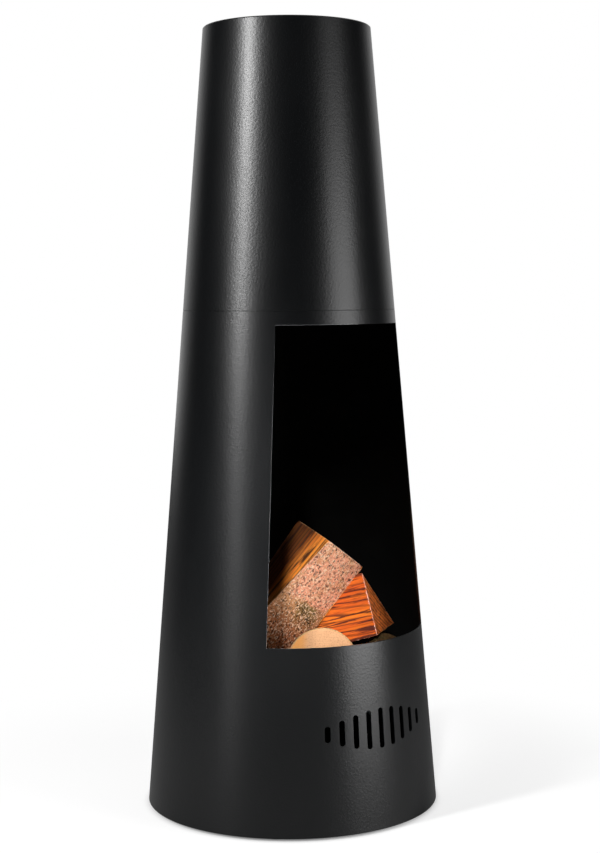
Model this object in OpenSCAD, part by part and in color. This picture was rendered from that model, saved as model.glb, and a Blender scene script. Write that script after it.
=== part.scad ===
// Cone-shaped garden stove: a rolled sheet-steel firebox with an open front, a lift-off
// flue section, a loose fire grate, an ash pan, levelling feet and a small load of firewood.
// Millimetres. +Z is up, the ground is z = 0 and the fire opening faces -Y.

/* [Shell] */
// Height from the ground to the top rim
overall_h = 1200; // [1100:10:1300]
// Outside diameter at the bottom edge
base_d = 454; // [444:2:480]
// Outside diameter at the top rim
top_d = 257; // [240:1:275]
// Thickness of the rolled sheet, measured level
sheet_t = 2.5; // [2:0.1:4]
// Height of the bottom edge above the ground
foot_gap = 4; // [3:0.5:8]
// Height of the joint between the firebox and the flue
seam_z = 770; // [760:1:800]

/* [Fire opening] */
// Height of the lower lip
opening_z0 = 280; // [270:1:300]
// Height of the upper edge
opening_z1 = 749; // [640:1:750]
// Width at the lower lip
opening_w0 = 305; // [250:1:310]
// Width at the upper edge
opening_w1 = 234; // [180:1:240]

/* [Air vent] */
// Number of upright slots
vent_count = 9; // [5:2:11]
// Width of one slot
vent_slot_w = 9; // [6:0.5:12]
// Height of the middle slot
vent_h_mid = 60; // [40:1:66]
// Height of the outermost slots
vent_h_end = 24; // [16:1:36]
// Turn from one slot to the next, in degrees
vent_pitch = 6; // [5:0.25:7]
// Height of the middle of the slots
vent_z = 153; // [130:1:154]

/* [Joint collar] */
// Lap of the collar below the joint
collar_down = 16; // [8:1:18]
// Height of the spigot above the joint
collar_up = 22; // [15:1:40]
// Thickness of the collar
collar_t = 2; // [1.5:0.1:3]

/* [Base] */
// Height of the base ring's flange above the ground
flange_z = 27; // [24:1:36]
// Thickness of the base ring
ring_t = 3; // [2:0.5:4]
// Width of the base ring's flange
flange_w = 48; // [44:1:56]
// Thickness of the floor plate
floor_t = 3; // [2:0.5:4]
// Room between the floor plate and the feet's studs
floor_edge = 9; // [6:1:11]
// Distance from the floor plate's edge to its screws
floor_screw_edge = 8; // [7:0.5:10]
// Number of floor screws
floor_screws_n = 6; // [4:1:8]
// Diameter of the floor screws
screw_d = 6; // [4:0.5:6]
// Diameter of a drain hole
drain_d = 12; // [6:1:16]
// Radius of the circle of drain holes
drain_r = 110; // [60:1:150]

/* [Levelling feet] */
// Distance from the shell's inside to the middle of a foot
foot_inset = 21.5; // [20:0.5:23]
// Diameter of a foot's pad
pad_d = 30; // [24:1:32]
// Thickness of a foot's pad
pad_t = 7; // [5:0.5:8]
// Diameter of a foot's stud
stud_d = 8; // [6:0.5:8]
// Height of a stud's tip above the ground
stud_top = 36; // [35:1:46]

/* [Grate] */
// Height of the grate's underside
grate_z = 186; // [186:1:200]
// Thickness of the grate
grate_t = 5; // [4:0.5:8]
// Room between the grate and the shell
grate_gap = 6; // [4:0.5:10]
// Width of a grate slot
grate_slot_w = 10; // [6:0.5:12]
// Distance from one row of slots to the next
grate_pitch = 24; // [20:1:30]
// Solid rim outside the slots
grate_rim = 18; // [12:1:24]
// Solid web between the two halves of a row
grate_web = 16; // [10:1:24]
// Number of brackets that carry the grate
bracket_n = 6; // [6:6:6]
// Width of a bracket
bracket_w = 30; // [20:1:34]
// Reach of a bracket under the grate
bracket_reach = 18; // [14:1:24]
// Height of a bracket's gusset
gusset_h = 36; // [20:1:44]
// Thickness of a bracket's plates
bracket_t = 4; // [3:0.5:5]

/* [Ash pan] */
// Distance from the floor plate's edge to the pan's mouth
pan_inset = 36; // [33:1:44]
// How much wider the pan's mouth is than its bottom, on the radius
pan_flare = 14; // [10:1:20]
// Height of the pan
pan_h = 38; // [25:1:50]
// Sheet thickness of the pan
pan_t = 1.5; // [1:0.1:2]
// Diameter of the rolled rim and of the handle wire
wire_d = 5; // [4:0.5:6]
// Bend radius of a handle
handle_r = 24; // [20:1:30]
// Height of a handle's straight legs
handle_leg = 14; // [8:1:20]

/* [Firewood] */
// Distance from the middle of the pile to the right edge of the grate
pile_edge = 203; // [200:1:206]
// Length of the log that leans
lean_len = 218; // [210:1:225]
// Width of the leaning log's split side
lean_split_w = 86; // [80:1:88]
// Width of the leaning log's bark side
lean_bark_w = 92; // [86:1:94]
// Slope of the leaning log, in degrees
lean_slope = 53.5; // [52:0.1:55]
// Length of the log that lies across
cross_len = 245; // [235:1:250]
// Width of the underside of the log that lies across
cross_w = 106; // [95:1:110]
// Height of the log that lies across
cross_h = 93; // [80:1:95]
// Diameter of the round billet at its wide end
billet_d = 109; // [100:1:110]
// Diameter of the round billet at its narrow end
billet_end_d = 86; // [80:1:90]
// Length of the round billet
billet_len = 112; // [95:1:116]
// Diameter of the small branch
branch_d = 68; // [60:1:70]
// Length of the small branch
branch_len = 94; // [80:1:100]

/* [Clearances] */
// Room between pieces that are welded or screwed together
weld_gap = 0.2; // [0.1:0.05:0.4]
// Room between pieces that lift off each other
rest_gap = 0.3; // [0.2:0.05:0.5]
// Play of a screw in its hole, on the radius
screw_play = 0.3; // [0.2:0.05:0.5]

/* [Hidden] */

$fn = 96;
eps = 0.01;                       // overrun of a cut past the face it leaves
taper = (base_d - top_d) / 2 / (overall_h - foot_gap);
seam_play = rest_gap / 2;         // half the hairline between firebox and flue
bead_r = 1.5;                     // radius of the back weld
bead_out = 0.8;                   // height of the weld above the sheet
bead_start = foot_gap + 12;       // where the ground-off end of the weld begins

floor_z = flange_z + ring_t;      // top of the flange, underside of the floor plate
floor_top = floor_z + floor_t;
head_h = 3.5;                     // height of a floor screw's head
nut_h = 0.8 * screw_d;            // height of a floor nut
stud_nut_h = stud_d;              // height of a foot's weld nut
hex_ratio = 1.9;                  // a nut's width across corners, in thread diameters
foot_turn = 45;                   // where the first foot stands, in degrees from +X

grate_top = grate_z + grate_t;
pile_z = grate_top + rest_gap;    // where the firewood stands
pile_turn = -38;                  // the pile's own X, in degrees from +X

black = [0.07, 0.07, 0.075];
soot = [0.10, 0.095, 0.09];
zinc = [0.62, 0.63, 0.65];
split_wood = [0.72, 0.38, 0.17];
pale_wood = [0.86, 0.66, 0.42];
bark = [0.66, 0.50, 0.41];

// Outside and inside radius of the shell at height z.
function r_out(z) = base_d / 2 - (z - foot_gap) * taper;
function r_in(z) = r_out(z) - sheet_t;

foot_circle_r = r_in(foot_gap) - foot_inset;
flange_inner_r = r_in(floor_z) - weld_gap - flange_w;
floor_r = foot_circle_r - stud_d / 2 - floor_edge;
floor_screw_r = floor_r - floor_screw_edge;
pan_r1 = floor_r - pan_inset;     // radius of the pan's mouth
pan_r0 = pan_r1 - pan_flare;      // radius of the pan's bottom
grate_r = r_in(grate_top) - grate_gap;

// Points of an arc from p to q that stands proud of the straight line by bulge.
function bowed(p, q, bulge, n = 8) =
    let (d = q - p, out = [d[1], -d[0]] / norm(d))
    [for (i = [0:n]) let (t = i / n) p + d * t + out * bulge * 4 * t * (1 - t)];

// A solid cone that follows the shell from z0 to z1, its radius changed by grow.
module shell_cone(z0, z1, grow = 0) {
    translate([0, 0, z0])
        cylinder(h = z1 - z0, r1 = r_out(z0) + grow, r2 = r_out(z1) + grow);
}

// The sheet itself, from z0 to z1.
module shell_wall(z0, z1) {
    difference() {
        shell_cone(z0, z1);
        shell_cone(z0 - 1, z1 + 1, -sheet_t);
    }
}

// The dressed weld up the back of the sheet, from z0 to z1.
module back_weld(z0, z1) {
    lean = atan(taper);
    intersection() {
        translate([0, r_out(z0) + bead_out - bead_r, z0])
            rotate([lean, 0, 0])
                translate([0, 0, -2 * bead_r])
                    cylinder(h = (z1 - z0) / cos(lean) + 4 * bead_r, r = bead_r, $fn = 24);
        translate([-2 * bead_r, 0, z0])
            cube([4 * bead_r, base_d, z1 - z0]);
    }
}

// A flat shape in X and Z, cut from the axis out through the front.
module front_cut() {
    rotate([90, 0, 0])
        linear_extrude(height = base_d)
            children();
}

module slot_2d(w, h) {
    square([w, h - w], center = true);
    for (s = [-1, 1])
        translate([0, s * (h - w) / 2])
            circle(d = w, $fn = 32);
}

module opening_2d() {
    polygon([
        [-opening_w0 / 2, opening_z0], [opening_w0 / 2, opening_z0],
        [opening_w1 / 2, opening_z1], [-opening_w1 / 2, opening_z1]
    ]);
}

module vent_slots() {
    half = (vent_count - 1) / 2;
    for (i = [-half:half]) {
        h = vent_h_end + (vent_h_mid - vent_h_end) * cos(90 * i / half);
        rotate([0, 0, i * vent_pitch])
            front_cut()
                translate([0, vent_z])
                    slot_2d(vent_slot_w, h);
    }
}

module firebox_shell() {
    top = seam_z - seam_play;
    color(black)
        difference() {
            union() {
                shell_wall(foot_gap, top);
                back_weld(bead_start, top);
            }
            front_cut() opening_2d();
            vent_slots();
        }
}

module flue_shell() {
    bottom = seam_z + seam_play;
    color(black)
        union() {
            shell_wall(bottom, overall_h);
            back_weld(bottom, overall_h);
        }
}

// A ring that follows the inside of the shell, gap clear of it.
module lining_ring(z0, z1, t, gap) {
    rotate_extrude()
        polygon([
            [r_in(z0) - gap - t, z0], [r_in(z0) - gap, z0],
            [r_in(z1) - gap, z1], [r_in(z1) - gap - t, z1]
        ]);
}

module joint_collar() {
    color(soot)
        lining_ring(seam_z - collar_down, seam_z + collar_up, collar_t, rest_gap);
}

// Turns its children to each of n places on a circle.
module around(n, start = 0) {
    for (i = [0:n - 1])
        rotate([0, 0, start + i * 360 / n])
            children();
}

module base_ring() {
    hem = foot_gap + 1;
    color(black)
        difference() {
            union() {
                lining_ring(hem, floor_z, ring_t, weld_gap);
                translate([0, 0, flange_z])
                    difference() {
                        cylinder(h = ring_t, r = r_in(floor_z) - weld_gap - ring_t / 2);
                        translate([0, 0, -1])
                            cylinder(h = ring_t + 2, r = flange_inner_r);
                    }
            }
            around(floor_screws_n)
                translate([floor_screw_r, 0, flange_z - 1])
                    cylinder(h = ring_t + 2, d = screw_d + 2 * screw_play, $fn = 32);
            around(4, foot_turn)
                translate([foot_circle_r, 0, flange_z - 1])
                    cylinder(h = ring_t + 2, d = stud_d + 2 * screw_play, $fn = 32);
        }
}

module floor_plate() {
    color(soot)
        translate([0, 0, floor_z])
            difference() {
                cylinder(h = floor_t, r = floor_r);
                around(floor_screws_n)
                    translate([floor_screw_r, 0, -1])
                        cylinder(h = floor_t + 2, d = screw_d + 2 * screw_play, $fn = 32);
                around(4, foot_turn)
                    translate([drain_r, 0, -1])
                        cylinder(h = floor_t + 2, d = drain_d, $fn = 32);
                translate([0, 0, -1])
                    cylinder(h = floor_t + 2, d = drain_d, $fn = 32);
            }
}

module floor_screws() {
    color(zinc)
        around(floor_screws_n)
            translate([floor_screw_r, 0, 0]) {
                translate([0, 0, flange_z - nut_h - 2])
                    cylinder(h = floor_top - flange_z + nut_h + 2 + eps, d = screw_d, $fn = 32);
                translate([0, 0, floor_top])
                    cylinder(h = head_h, d1 = 1.8 * screw_d, d2 = 1.3 * screw_d, $fn = 32);
            }
}

// A hexagon nut with its upper face at z, for a thread of diameter d.
module nut_under(z, d, h) {
    translate([0, 0, z - h])
        difference() {
            cylinder(h = h, d = hex_ratio * d, $fn = 6);
            translate([0, 0, -1])
                cylinder(h = h + 2, d = d + 2 * weld_gap, $fn = 32);
        }
}

module floor_nuts() {
    color(zinc)
        around(floor_screws_n)
            translate([floor_screw_r, 0, 0])
                nut_under(flange_z, screw_d, nut_h);
}

module foot_nuts() {
    color(zinc)
        around(4, foot_turn)
            translate([foot_circle_r, 0, 0])
                nut_under(flange_z, stud_d, stud_nut_h);
}

// Foot number i: a pad with a chamfered sole on a threaded stud.
module foot(i) {
    sole = 1.5;
    color(zinc)
        rotate([0, 0, foot_turn + (i - 1) * 90])
            translate([foot_circle_r, 0, 0]) {
                cylinder(h = sole, d1 = pad_d - 2 * sole, d2 = pad_d, $fn = 48);
                translate([0, 0, sole])
                    cylinder(h = pad_t - sole, d = pad_d, $fn = 48);
                translate([0, 0, sole])
                    cylinder(h = stud_top - sole, d = stud_d, $fn = 32);
            }
}

module grate_brackets() {
    top = grate_z - rest_gap;
    inner = r_in(grate_z) - grate_gap - bracket_reach;
    color(black)
        intersection() {
            around(bracket_n) {
                translate([inner, -bracket_w / 2, top - bracket_t])
                    cube([base_d, bracket_w, bracket_t]);
                translate([0, bracket_t / 2, 0])
                    rotate([90, 0, 0])
                        linear_extrude(height = bracket_t)
                            polygon([
                                [inner + bracket_t, top - bracket_t],
                                [base_d / 2, top - bracket_t],
                                [base_d / 2, top - bracket_t - gusset_h],
                                [r_in(top - gusset_h) - 3 * bracket_t, top - bracket_t - gusset_h]
                            ]);
            }
            shell_cone(foot_gap, seam_z, -sheet_t - weld_gap);
        }
}

module fire_grate() {
    rows = floor((grate_r - grate_rim - grate_slot_w) / grate_pitch);
    color(soot)
        translate([0, 0, grate_z])
            linear_extrude(height = grate_t)
                difference() {
                    circle(r = grate_r, $fn = 128);
                    for (k = [-rows:rows]) {
                        y = k * grate_pitch;
                        reach = sqrt(pow(grate_r - grate_rim, 2)
                                   - pow(abs(y) + grate_slot_w / 2, 2));
                        for (s = [-1, 1])
                            translate([s * (reach + grate_web / 2) / 2, y])
                                rotate(90)
                                    slot_2d(grate_slot_w, reach - grate_web / 2);
                    }
                }
}

module ash_pan() {
    z = floor_top + rest_gap;
    color(soot)
        rotate_extrude()
            union() {
                polygon([
                    [0, z], [pan_r0, z], [pan_r1, z + pan_h],
                    [pan_r1 - pan_t, z + pan_h], [pan_r0 - pan_t, z + pan_t], [0, z + pan_t]
                ]);
                translate([pan_r1 + wire_d / 2 - pan_t, z + pan_h])
                    circle(d = wire_d, $fn = 24);
            }
}

// Two wire loops that stand on the pan's rim.
module pan_handles() {
    rim_z = floor_top + rest_gap + pan_h + wire_d / 2 + weld_gap;
    color(zinc)
        around(2)
            translate([pan_r1 + wire_d / 2 - pan_t, 0, rim_z]) {
                for (s = [-1, 1])
                    translate([0, s * handle_r, 0])
                        cylinder(h = handle_leg, d = wire_d, $fn = 24);
                translate([0, 0, handle_leg])
                    rotate([90, 0, 90])
                        rotate_extrude(angle = 180)
                            translate([handle_r, 0])
                                circle(d = wire_d, $fn = 24);
            }
}

// The pile's own frame: X runs to the right and Y to the back as the pile is looked at.
module pile() {
    translate([0, 0, pile_z])
        rotate([0, 0, pile_turn])
            translate([grate_r - pile_edge, 0, 0])
                children();
}

branch_x = 146;                   // middle of the branch
branch_y = -84;                   // front end of the branch
billet_x = 46;                    // middle of the billet
billet_y = -152;                  // front end of the billet
cross_x = -89;                    // low left corner of the log that lies across
cross_y = 44;
cross_yaw = 18.4;                 // turn of that log towards the front
// It lies on the pile's floor at its left end and on the branch near its right end.
cross_run = (branch_x - cross_x) * cos(cross_yaw)
          - (branch_y + branch_len - cross_y) * sin(cross_yaw);
cross_tilt = 2 * atan((branch_d / 2 + rest_gap) / cross_run);
cross_cut = 6;                    // how far its sawn end leans back, in degrees
cross_crest = 0.45;               // place of its upper edge, as a share of its width
lean_x = -70;                     // where the leaning log's front edge would meet its foot
lean_y = -51;
lean_tip = 10;                    // how far that log tips to the back, in degrees
lean_turn = [134.5, 42.4];        // directions of its split and its bark side
lean_bulge = 6;                   // how far its bark stands proud of a flat side
lean_skew = 28;                   // how far its front edge runs off at the foot
foot_share = 0.9;                 // size of its foot, as a share of its head

// Outline of the leaning log: the split corner, then the bark from the front edge back.
function lean_outline(share, skew) =
    let (split = share * lean_split_w * [cos(lean_turn[0]), sin(lean_turn[0])],
         back = share * lean_bark_w * [cos(lean_turn[1]), sin(lean_turn[1])])
    concat([split], bowed([-skew, 0], back, lean_bulge));

module log_leaning() {
    foot = lean_outline(foot_share, lean_skew);
    // Height of the foot's own centre over its lowest corner.
    rise = max([for (p = foot) p[0] * cos(lean_slope) * cos(lean_tip) + p[1] * sin(lean_tip)]);
    cut = 0.5;
    color(bark)
        pile()
            translate([lean_x, lean_y, rise])
                rotate([-lean_tip, 0, 0])
                    rotate([0, 90 - lean_slope, 0])
                        hull() {
                            linear_extrude(height = cut)
                                polygon(foot);
                            translate([0, 0, lean_len - cut])
                                linear_extrude(height = cut)
                                    polygon(lean_outline(1, 0));
                        }
}

module log_across() {
    color(split_wood)
        pile()
            translate([cross_x, cross_y, 0])
                rotate([0, -cross_tilt, -cross_yaw])
                    rotate([90, 0, 90])
                        difference() {
                            linear_extrude(height = cross_len)
                                polygon([[0, 0], [cross_w, 0], [cross_crest * cross_w, cross_h]]);
                            translate([-1, 0, cross_len])
                                rotate([-cross_cut, 0, 0])
                                    translate([0, -cross_h, 0])
                                        cube([cross_w + 2, 3 * cross_h, cross_h]);
                        }
}

// A round log that lies along the pile's Y, its front end of diameter d at [x, y].
module round_log(x, y, d, end_d, len) {
    drop = atan((d - end_d) / 2 / len);
    pile()
        translate([x, y, d / 2 * cos(drop)])
            rotate([-90 - drop, 0, 0])
                cylinder(h = len, d1 = d, d2 = end_d, $fn = 64);
}

module log_billet() {
    color(pale_wood)
        round_log(billet_x, billet_y, billet_d, billet_end_d, billet_len);
}

module log_branch() {
    color(pale_wood)
        round_log(branch_x, branch_y, branch_d, branch_d, branch_len);
}

firebox_shell();
flue_shell();
joint_collar();
base_ring();
floor_plate();
floor_screws();
floor_nuts();
foot_nuts();
foot(1);  // foot_1
foot(2);  // foot_2
foot(3);  // foot_3
foot(4);  // foot_4
grate_brackets();
fire_grate();
ash_pan();
pan_handles();
log_leaning();
log_across();
log_billet();
log_branch();
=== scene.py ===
"""Looks of a cone-shaped garden stove: a rolled sheet-steel cone with an open fire mouth.

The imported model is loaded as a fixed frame, in metres, with +Z up and the fire opening
towards -Y. Each sub-assembly is a class that builds its meshes around that frame.
"""

import logging
import math
from contextlib import contextmanager
from dataclasses import dataclass, field
from enum import Enum
from typing import Callable, Iterator, Optional, Union

import bmesh
import bpy
import numpy as np
from mathutils import Euler, Matrix, Vector, noise

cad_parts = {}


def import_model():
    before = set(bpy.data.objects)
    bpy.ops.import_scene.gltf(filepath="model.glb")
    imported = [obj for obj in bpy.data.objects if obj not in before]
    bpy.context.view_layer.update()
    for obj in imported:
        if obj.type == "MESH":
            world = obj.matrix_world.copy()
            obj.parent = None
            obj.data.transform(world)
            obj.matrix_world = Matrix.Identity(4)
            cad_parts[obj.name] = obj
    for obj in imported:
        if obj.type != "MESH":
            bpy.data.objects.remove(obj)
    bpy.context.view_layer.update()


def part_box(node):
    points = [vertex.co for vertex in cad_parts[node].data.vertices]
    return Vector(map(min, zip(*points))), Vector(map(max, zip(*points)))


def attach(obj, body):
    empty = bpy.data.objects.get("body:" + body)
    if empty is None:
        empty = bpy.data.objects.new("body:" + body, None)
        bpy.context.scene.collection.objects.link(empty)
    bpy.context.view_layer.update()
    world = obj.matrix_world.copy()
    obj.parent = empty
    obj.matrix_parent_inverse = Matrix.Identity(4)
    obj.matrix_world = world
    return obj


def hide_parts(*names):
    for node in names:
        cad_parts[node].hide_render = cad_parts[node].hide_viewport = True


LOG = logging.getLogger("garden_stove")
MM = 0.001
TURN = 2 * math.pi
CREASE = 35.0  # degrees past which an edge counts as sharp

Colour = tuple[float, float, float, float]
Point = tuple[float, float]
Grid = np.ndarray
Piece = bpy.types.Object
Material = bpy.types.Material


class Body(Enum):
    """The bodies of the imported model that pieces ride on."""

    STOVE = "stove"
    FLUE = "flue"
    GRATE = "grate"
    PAN = "pan"
    FOOT_1 = "foot_a"
    FOOT_2 = "foot_b"
    FOOT_3 = "foot_c"
    FOOT_4 = "foot_d"


class Slot(Enum):
    """The record's material slots."""

    BLACK = "stove_black"
    STEEL = "sooty_steel"
    ZINC = "zinc_plate"
    SPLIT = "split_wood"
    PALE = "pale_wood"
    BARK = "bark_wood"


def tint(red: float, green: float, blue: float) -> Colour:
    """A display colour from 0 to 255 as the linear colour that shaders take.

    Args:
        red: Red, from 0 to 255.
        green: Green.
        blue: Blue.

    Returns:
        The linear colour, with alpha 1.
    """

    def linear(level: float) -> float:
        """One channel, by the sRGB curve."""
        share = level / 255
        return share / 12.92 if share <= 0.04045 else ((share + 0.055) / 1.055) ** 2.4

    return (linear(red), linear(green), linear(blue), 1.0)


# ---------------------------------------------------------------- node trees


class Signal:
    """An output socket of a node tree, with Python's operators for maths on values."""

    def __init__(self, graph: "Graph", socket: bpy.types.NodeSocket) -> None:
        """Holds the socket and the tree that it belongs to."""
        self.graph = graph
        self.socket = socket

    def _math(self, operation: str, first: "Value", second: "Value" = 0.0) -> "Signal":
        """Adds a Math node that works on two values."""
        return self.graph.node("ShaderNodeMath", {"operation": operation}, {0: first, 1: second})

    def __add__(self, other: "Value") -> "Signal":
        """self + other."""
        return self._math("ADD", self, other)

    def __radd__(self, other: "Value") -> "Signal":
        """other + self."""
        return self._math("ADD", other, self)

    def __sub__(self, other: "Value") -> "Signal":
        """self - other."""
        return self._math("SUBTRACT", self, other)

    def __rsub__(self, other: "Value") -> "Signal":
        """other - self."""
        return self._math("SUBTRACT", other, self)

    def __mul__(self, other: "Value") -> "Signal":
        """self * other."""
        return self._math("MULTIPLY", self, other)

    def __rmul__(self, other: "Value") -> "Signal":
        """other * self."""
        return self._math("MULTIPLY", other, self)

    def __truediv__(self, other: "Value") -> "Signal":
        """self / other."""
        return self._math("DIVIDE", self, other)

    def __rtruediv__(self, other: "Value") -> "Signal":
        """other / self."""
        return self._math("DIVIDE", other, self)

    def __pow__(self, other: "Value") -> "Signal":
        """self ** other."""
        return self._math("POWER", self, other)

    def __neg__(self) -> "Signal":
        """-self."""
        return self._math("MULTIPLY", self, -1.0)

    def fraction(self) -> "Signal":
        """What is left of the value past its whole number."""
        return self._math("FRACT", self)

    def cosine(self) -> "Signal":
        """Cosine of the value, in radians."""
        return self._math("COSINE", self)

    def sine(self) -> "Signal":
        """Sine of the value, in radians."""
        return self._math("SINE", self)

    def sign(self) -> "Signal":
        """-1, 0 or 1."""
        return self._math("SIGN", self)

    def at_most(self, limit: "Value") -> "Signal":
        """The lower of the value and the limit."""
        return self._math("MINIMUM", self, limit)

    def ramp(self, low: float, high: float) -> "Signal":
        """A smooth step from 0 at low to 1 at high, where low may be the larger.

        Args:
            low: Where the step is 0.
            high: Where the step is 1.

        Returns:
            The step.
        """
        values = {"Value": self, "From Min": min(low, high), "From Max": max(low, high)}
        step = self.graph.node("ShaderNodeMapRange",
                               {"interpolation_type": "SMOOTHSTEP"}, values)
        return step if low < high else 1.0 - step


Value = Union[float, int, bool, str, tuple, Signal, bpy.types.ID]


class Graph:
    """A node tree that is written as calls and expressions."""

    def __init__(self, tree: bpy.types.NodeTree) -> None:
        """Starts on an empty tree."""
        self.tree = tree
        tree.nodes.clear()

    def node(self, kind: str, settings: Optional[dict] = None,
             inputs: Optional[dict] = None, output: Union[int, str] = 0) -> Signal:
        """Adds a node.

        Args:
            kind: The node's type.
            settings: Its properties, set first.
            inputs: Values or links, by a socket's index, identifier or name.
            output: The index, identifier or name of the output that is wanted.

        Returns:
            The wanted output.
        """
        made = self.tree.nodes.new(kind)
        for name, value in (settings or {}).items():
            setattr(made, name, value)
        for key, value in (inputs or {}).items():
            self._feed(self._socket(made.inputs, key), value)
        wanted = self._socket(made.outputs, output) if len(made.outputs) else None
        return Signal(self, wanted)

    @staticmethod
    def _socket(sockets: bpy.types.bpy_prop_collection,
                key: Union[int, str]) -> bpy.types.NodeSocket:
        """Finds a socket by index, identifier, or name among the enabled ones."""
        if isinstance(key, int):
            return sockets[key]
        found = [s for s in sockets if s.identifier == key]
        found += [s for s in sockets if s.name == key and s.enabled]
        return found[0]

    def _feed(self, socket: bpy.types.NodeSocket, value: Value) -> None:
        """Links a signal, or each of a list of them, to a socket, or sets its value.

        Args:
            socket: The input.
            value: What it gets.
        """
        if isinstance(value, Signal):
            self.tree.links.new(value.socket, socket)
        elif isinstance(value, list):
            for signal in value:
                self.tree.links.new(signal.socket, socket)
        else:
            socket.default_value = value

    def combine(self, x: Value, y: Value, z: Value) -> Signal:
        """A vector from three values."""
        return self.node("ShaderNodeCombineXYZ", None, {0: x, 1: y, 2: z})

    def separate(self, vector: Signal) -> tuple[Signal, Signal, Signal]:
        """The three values of a vector."""
        first = self.node("ShaderNodeSeparateXYZ", None, {0: vector})
        outputs = first.socket.node.outputs
        return first, Signal(self, outputs[1]), Signal(self, outputs[2])

    def from_axis(self, vector: Signal) -> Signal:
        """Distance of a place from the Z axis."""
        x, y, _ = self.separate(vector)
        return (x * x + y * y) ** 0.5

    def scaled(self, vector: Signal, factors: tuple[float, float, float]) -> Signal:
        """A vector whose parts are multiplied by constant factors."""
        return self.node("ShaderNodeVectorMath", {"operation": "MULTIPLY"},
                         {0: vector, 1: factors})


@dataclass(frozen=True)
class Pattern:
    """A noise: features to the metre, octaves, roughness, and stretch on X and on Z."""

    scale: float
    detail: float = 2.0
    rough: float = 0.5
    across: float = 1.0
    along: float = 1.0


class Shader(Graph):
    """A material's tree."""

    def __init__(self, name: str) -> None:
        """Makes the material and opens its tree."""
        self.material = bpy.data.materials.new(name)
        self.material.use_nodes = True
        super().__init__(self.material.node_tree)

    def place(self) -> Signal:
        """The point's place on the piece, in metres."""
        return self.node("ShaderNodeTexCoord", None, None, "Object")

    def stored(self, name: str, output: str = "Vector") -> Signal:
        """An attribute that the mesh carries."""
        return self.node("ShaderNodeAttribute", {"attribute_name": name}, None, output)

    def noise(self, place: Signal, pattern: Pattern) -> Signal:
        """Smooth noise from 0 to 1 about 0.5.

        Args:
            place: The place to read it at.
            pattern: Its scale and roughness.

        Returns:
            The value.
        """
        if pattern.across != 1.0 or pattern.along != 1.0:
            place = self.scaled(place, (pattern.across, 1.0, pattern.along))
        return self.node("ShaderNodeTexNoise", {"noise_dimensions": "3D"},
                         {"Vector": place, "Scale": pattern.scale,
                          "Detail": pattern.detail, "Roughness": pattern.rough}, "Fac")

    def cells(self, place: Signal, scale: float, output: str = "Distance") -> Signal:
        """Distance to the nearest of scattered points, or that cell's random colour."""
        return self.node("ShaderNodeTexVoronoi", {"feature": "F1"},
                         {"Vector": place, "Scale": scale}, output)

    def mix(self, share: Value, first: Value, second: Value) -> Signal:
        """Two colours, mixed by a share from 0 to 1."""
        return self.node("ShaderNodeMix", {"data_type": "RGBA"},
                         {"Factor_Float": share, "A_Color": first, "B_Color": second},
                         "Result_Color")

    def bump(self, height: Signal, distance: float, below: Optional[Signal] = None) -> Signal:
        """A bumped normal. Distance is the height in metres that the value 1 stands for.

        Args:
            height: The height.
            distance: Metres for the value 1.
            below: A bumped normal that this one lies on, if any.

        Returns:
            The normal.
        """
        inputs: dict = {"Height": height, "Distance": distance, "Strength": 1.0}
        if below is not None:
            inputs["Normal"] = below
        return self.node("ShaderNodeBump", None, inputs, "Normal")

    def finish(self, colour: Value, roughness: Value, normal: Optional[Signal] = None,
               **constants: Value) -> Material:
        """Closes the tree with a principled shader.

        Args:
            colour: Base colour.
            roughness: Roughness.
            normal: Bumped normal, if any.
            **constants: Other sockets by name, with _ for a blank.

        Returns:
            The material.
        """
        inputs: dict = {"Base Color": colour, "Roughness": roughness}
        if normal is not None:
            inputs["Normal"] = normal
        inputs.update({name.replace("_", " "): value for name, value in constants.items()})
        surface = self.node("ShaderNodeBsdfPrincipled", None, inputs)
        self.node("ShaderNodeOutputMaterial", None, {"Surface": surface})
        return self.material


class GeometryTree(Graph):
    """A Geometry Nodes tree with named inputs."""

    KINDS = {"float": "NodeSocketFloat", "int": "NodeSocketInt",
             "material": "NodeSocketMaterial"}

    def __init__(self, name: str, inputs: dict[str, str]) -> None:
        """Makes the tree with a geometry input and the named ones."""
        super().__init__(bpy.data.node_groups.new(name, "GeometryNodeTree"))
        face = self.tree.interface
        face.new_socket("Geometry", in_out="INPUT", socket_type="NodeSocketGeometry")
        for label, kind in inputs.items():
            face.new_socket(label, in_out="INPUT", socket_type=self.KINDS[kind])
        face.new_socket("Geometry", in_out="OUTPUT", socket_type="NodeSocketGeometry")
        self.entry = self.tree.nodes.new("NodeGroupInput")

    def given(self, label: str) -> Signal:
        """A named input."""
        return Signal(self, self.entry.outputs[label])

    def points(self, place: Value) -> Signal:
        """As many points as the input Count says, each at its place."""
        return self.node("GeometryNodePoints", None,
                         {"Count": self.given("Count"), "Position": place})

    def close(self, geometry: Signal) -> None:
        """Ends the tree in Realize Instances and Set Material, with the input Material."""
        solid = self.node("GeometryNodeRealizeInstances", None, {"Geometry": geometry})
        dressed = self.node("GeometryNodeSetMaterial", None,
                            {"Geometry": solid, "Material": self.given("Material")})
        end = self.tree.nodes.new("NodeGroupOutput")
        self._feed(end.inputs["Geometry"], dressed)

    def run_on(self, piece: Piece, values: dict[str, Value]) -> None:
        """Runs the tree on a piece and leaves the result as its plain mesh.

        Args:
            piece: The piece.
            values: The named inputs' values.
        """
        modifier = piece.modifiers.new(self.tree.name, "NODES")
        modifier.node_group = self.tree
        for item in self.tree.interface.items_tree:
            if item.in_out == "INPUT" and item.name in values:
                modifier[item.identifier] = values[item.name]
        settle_modifiers(piece)


# ---------------------------------------------------------------- meshes


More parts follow.
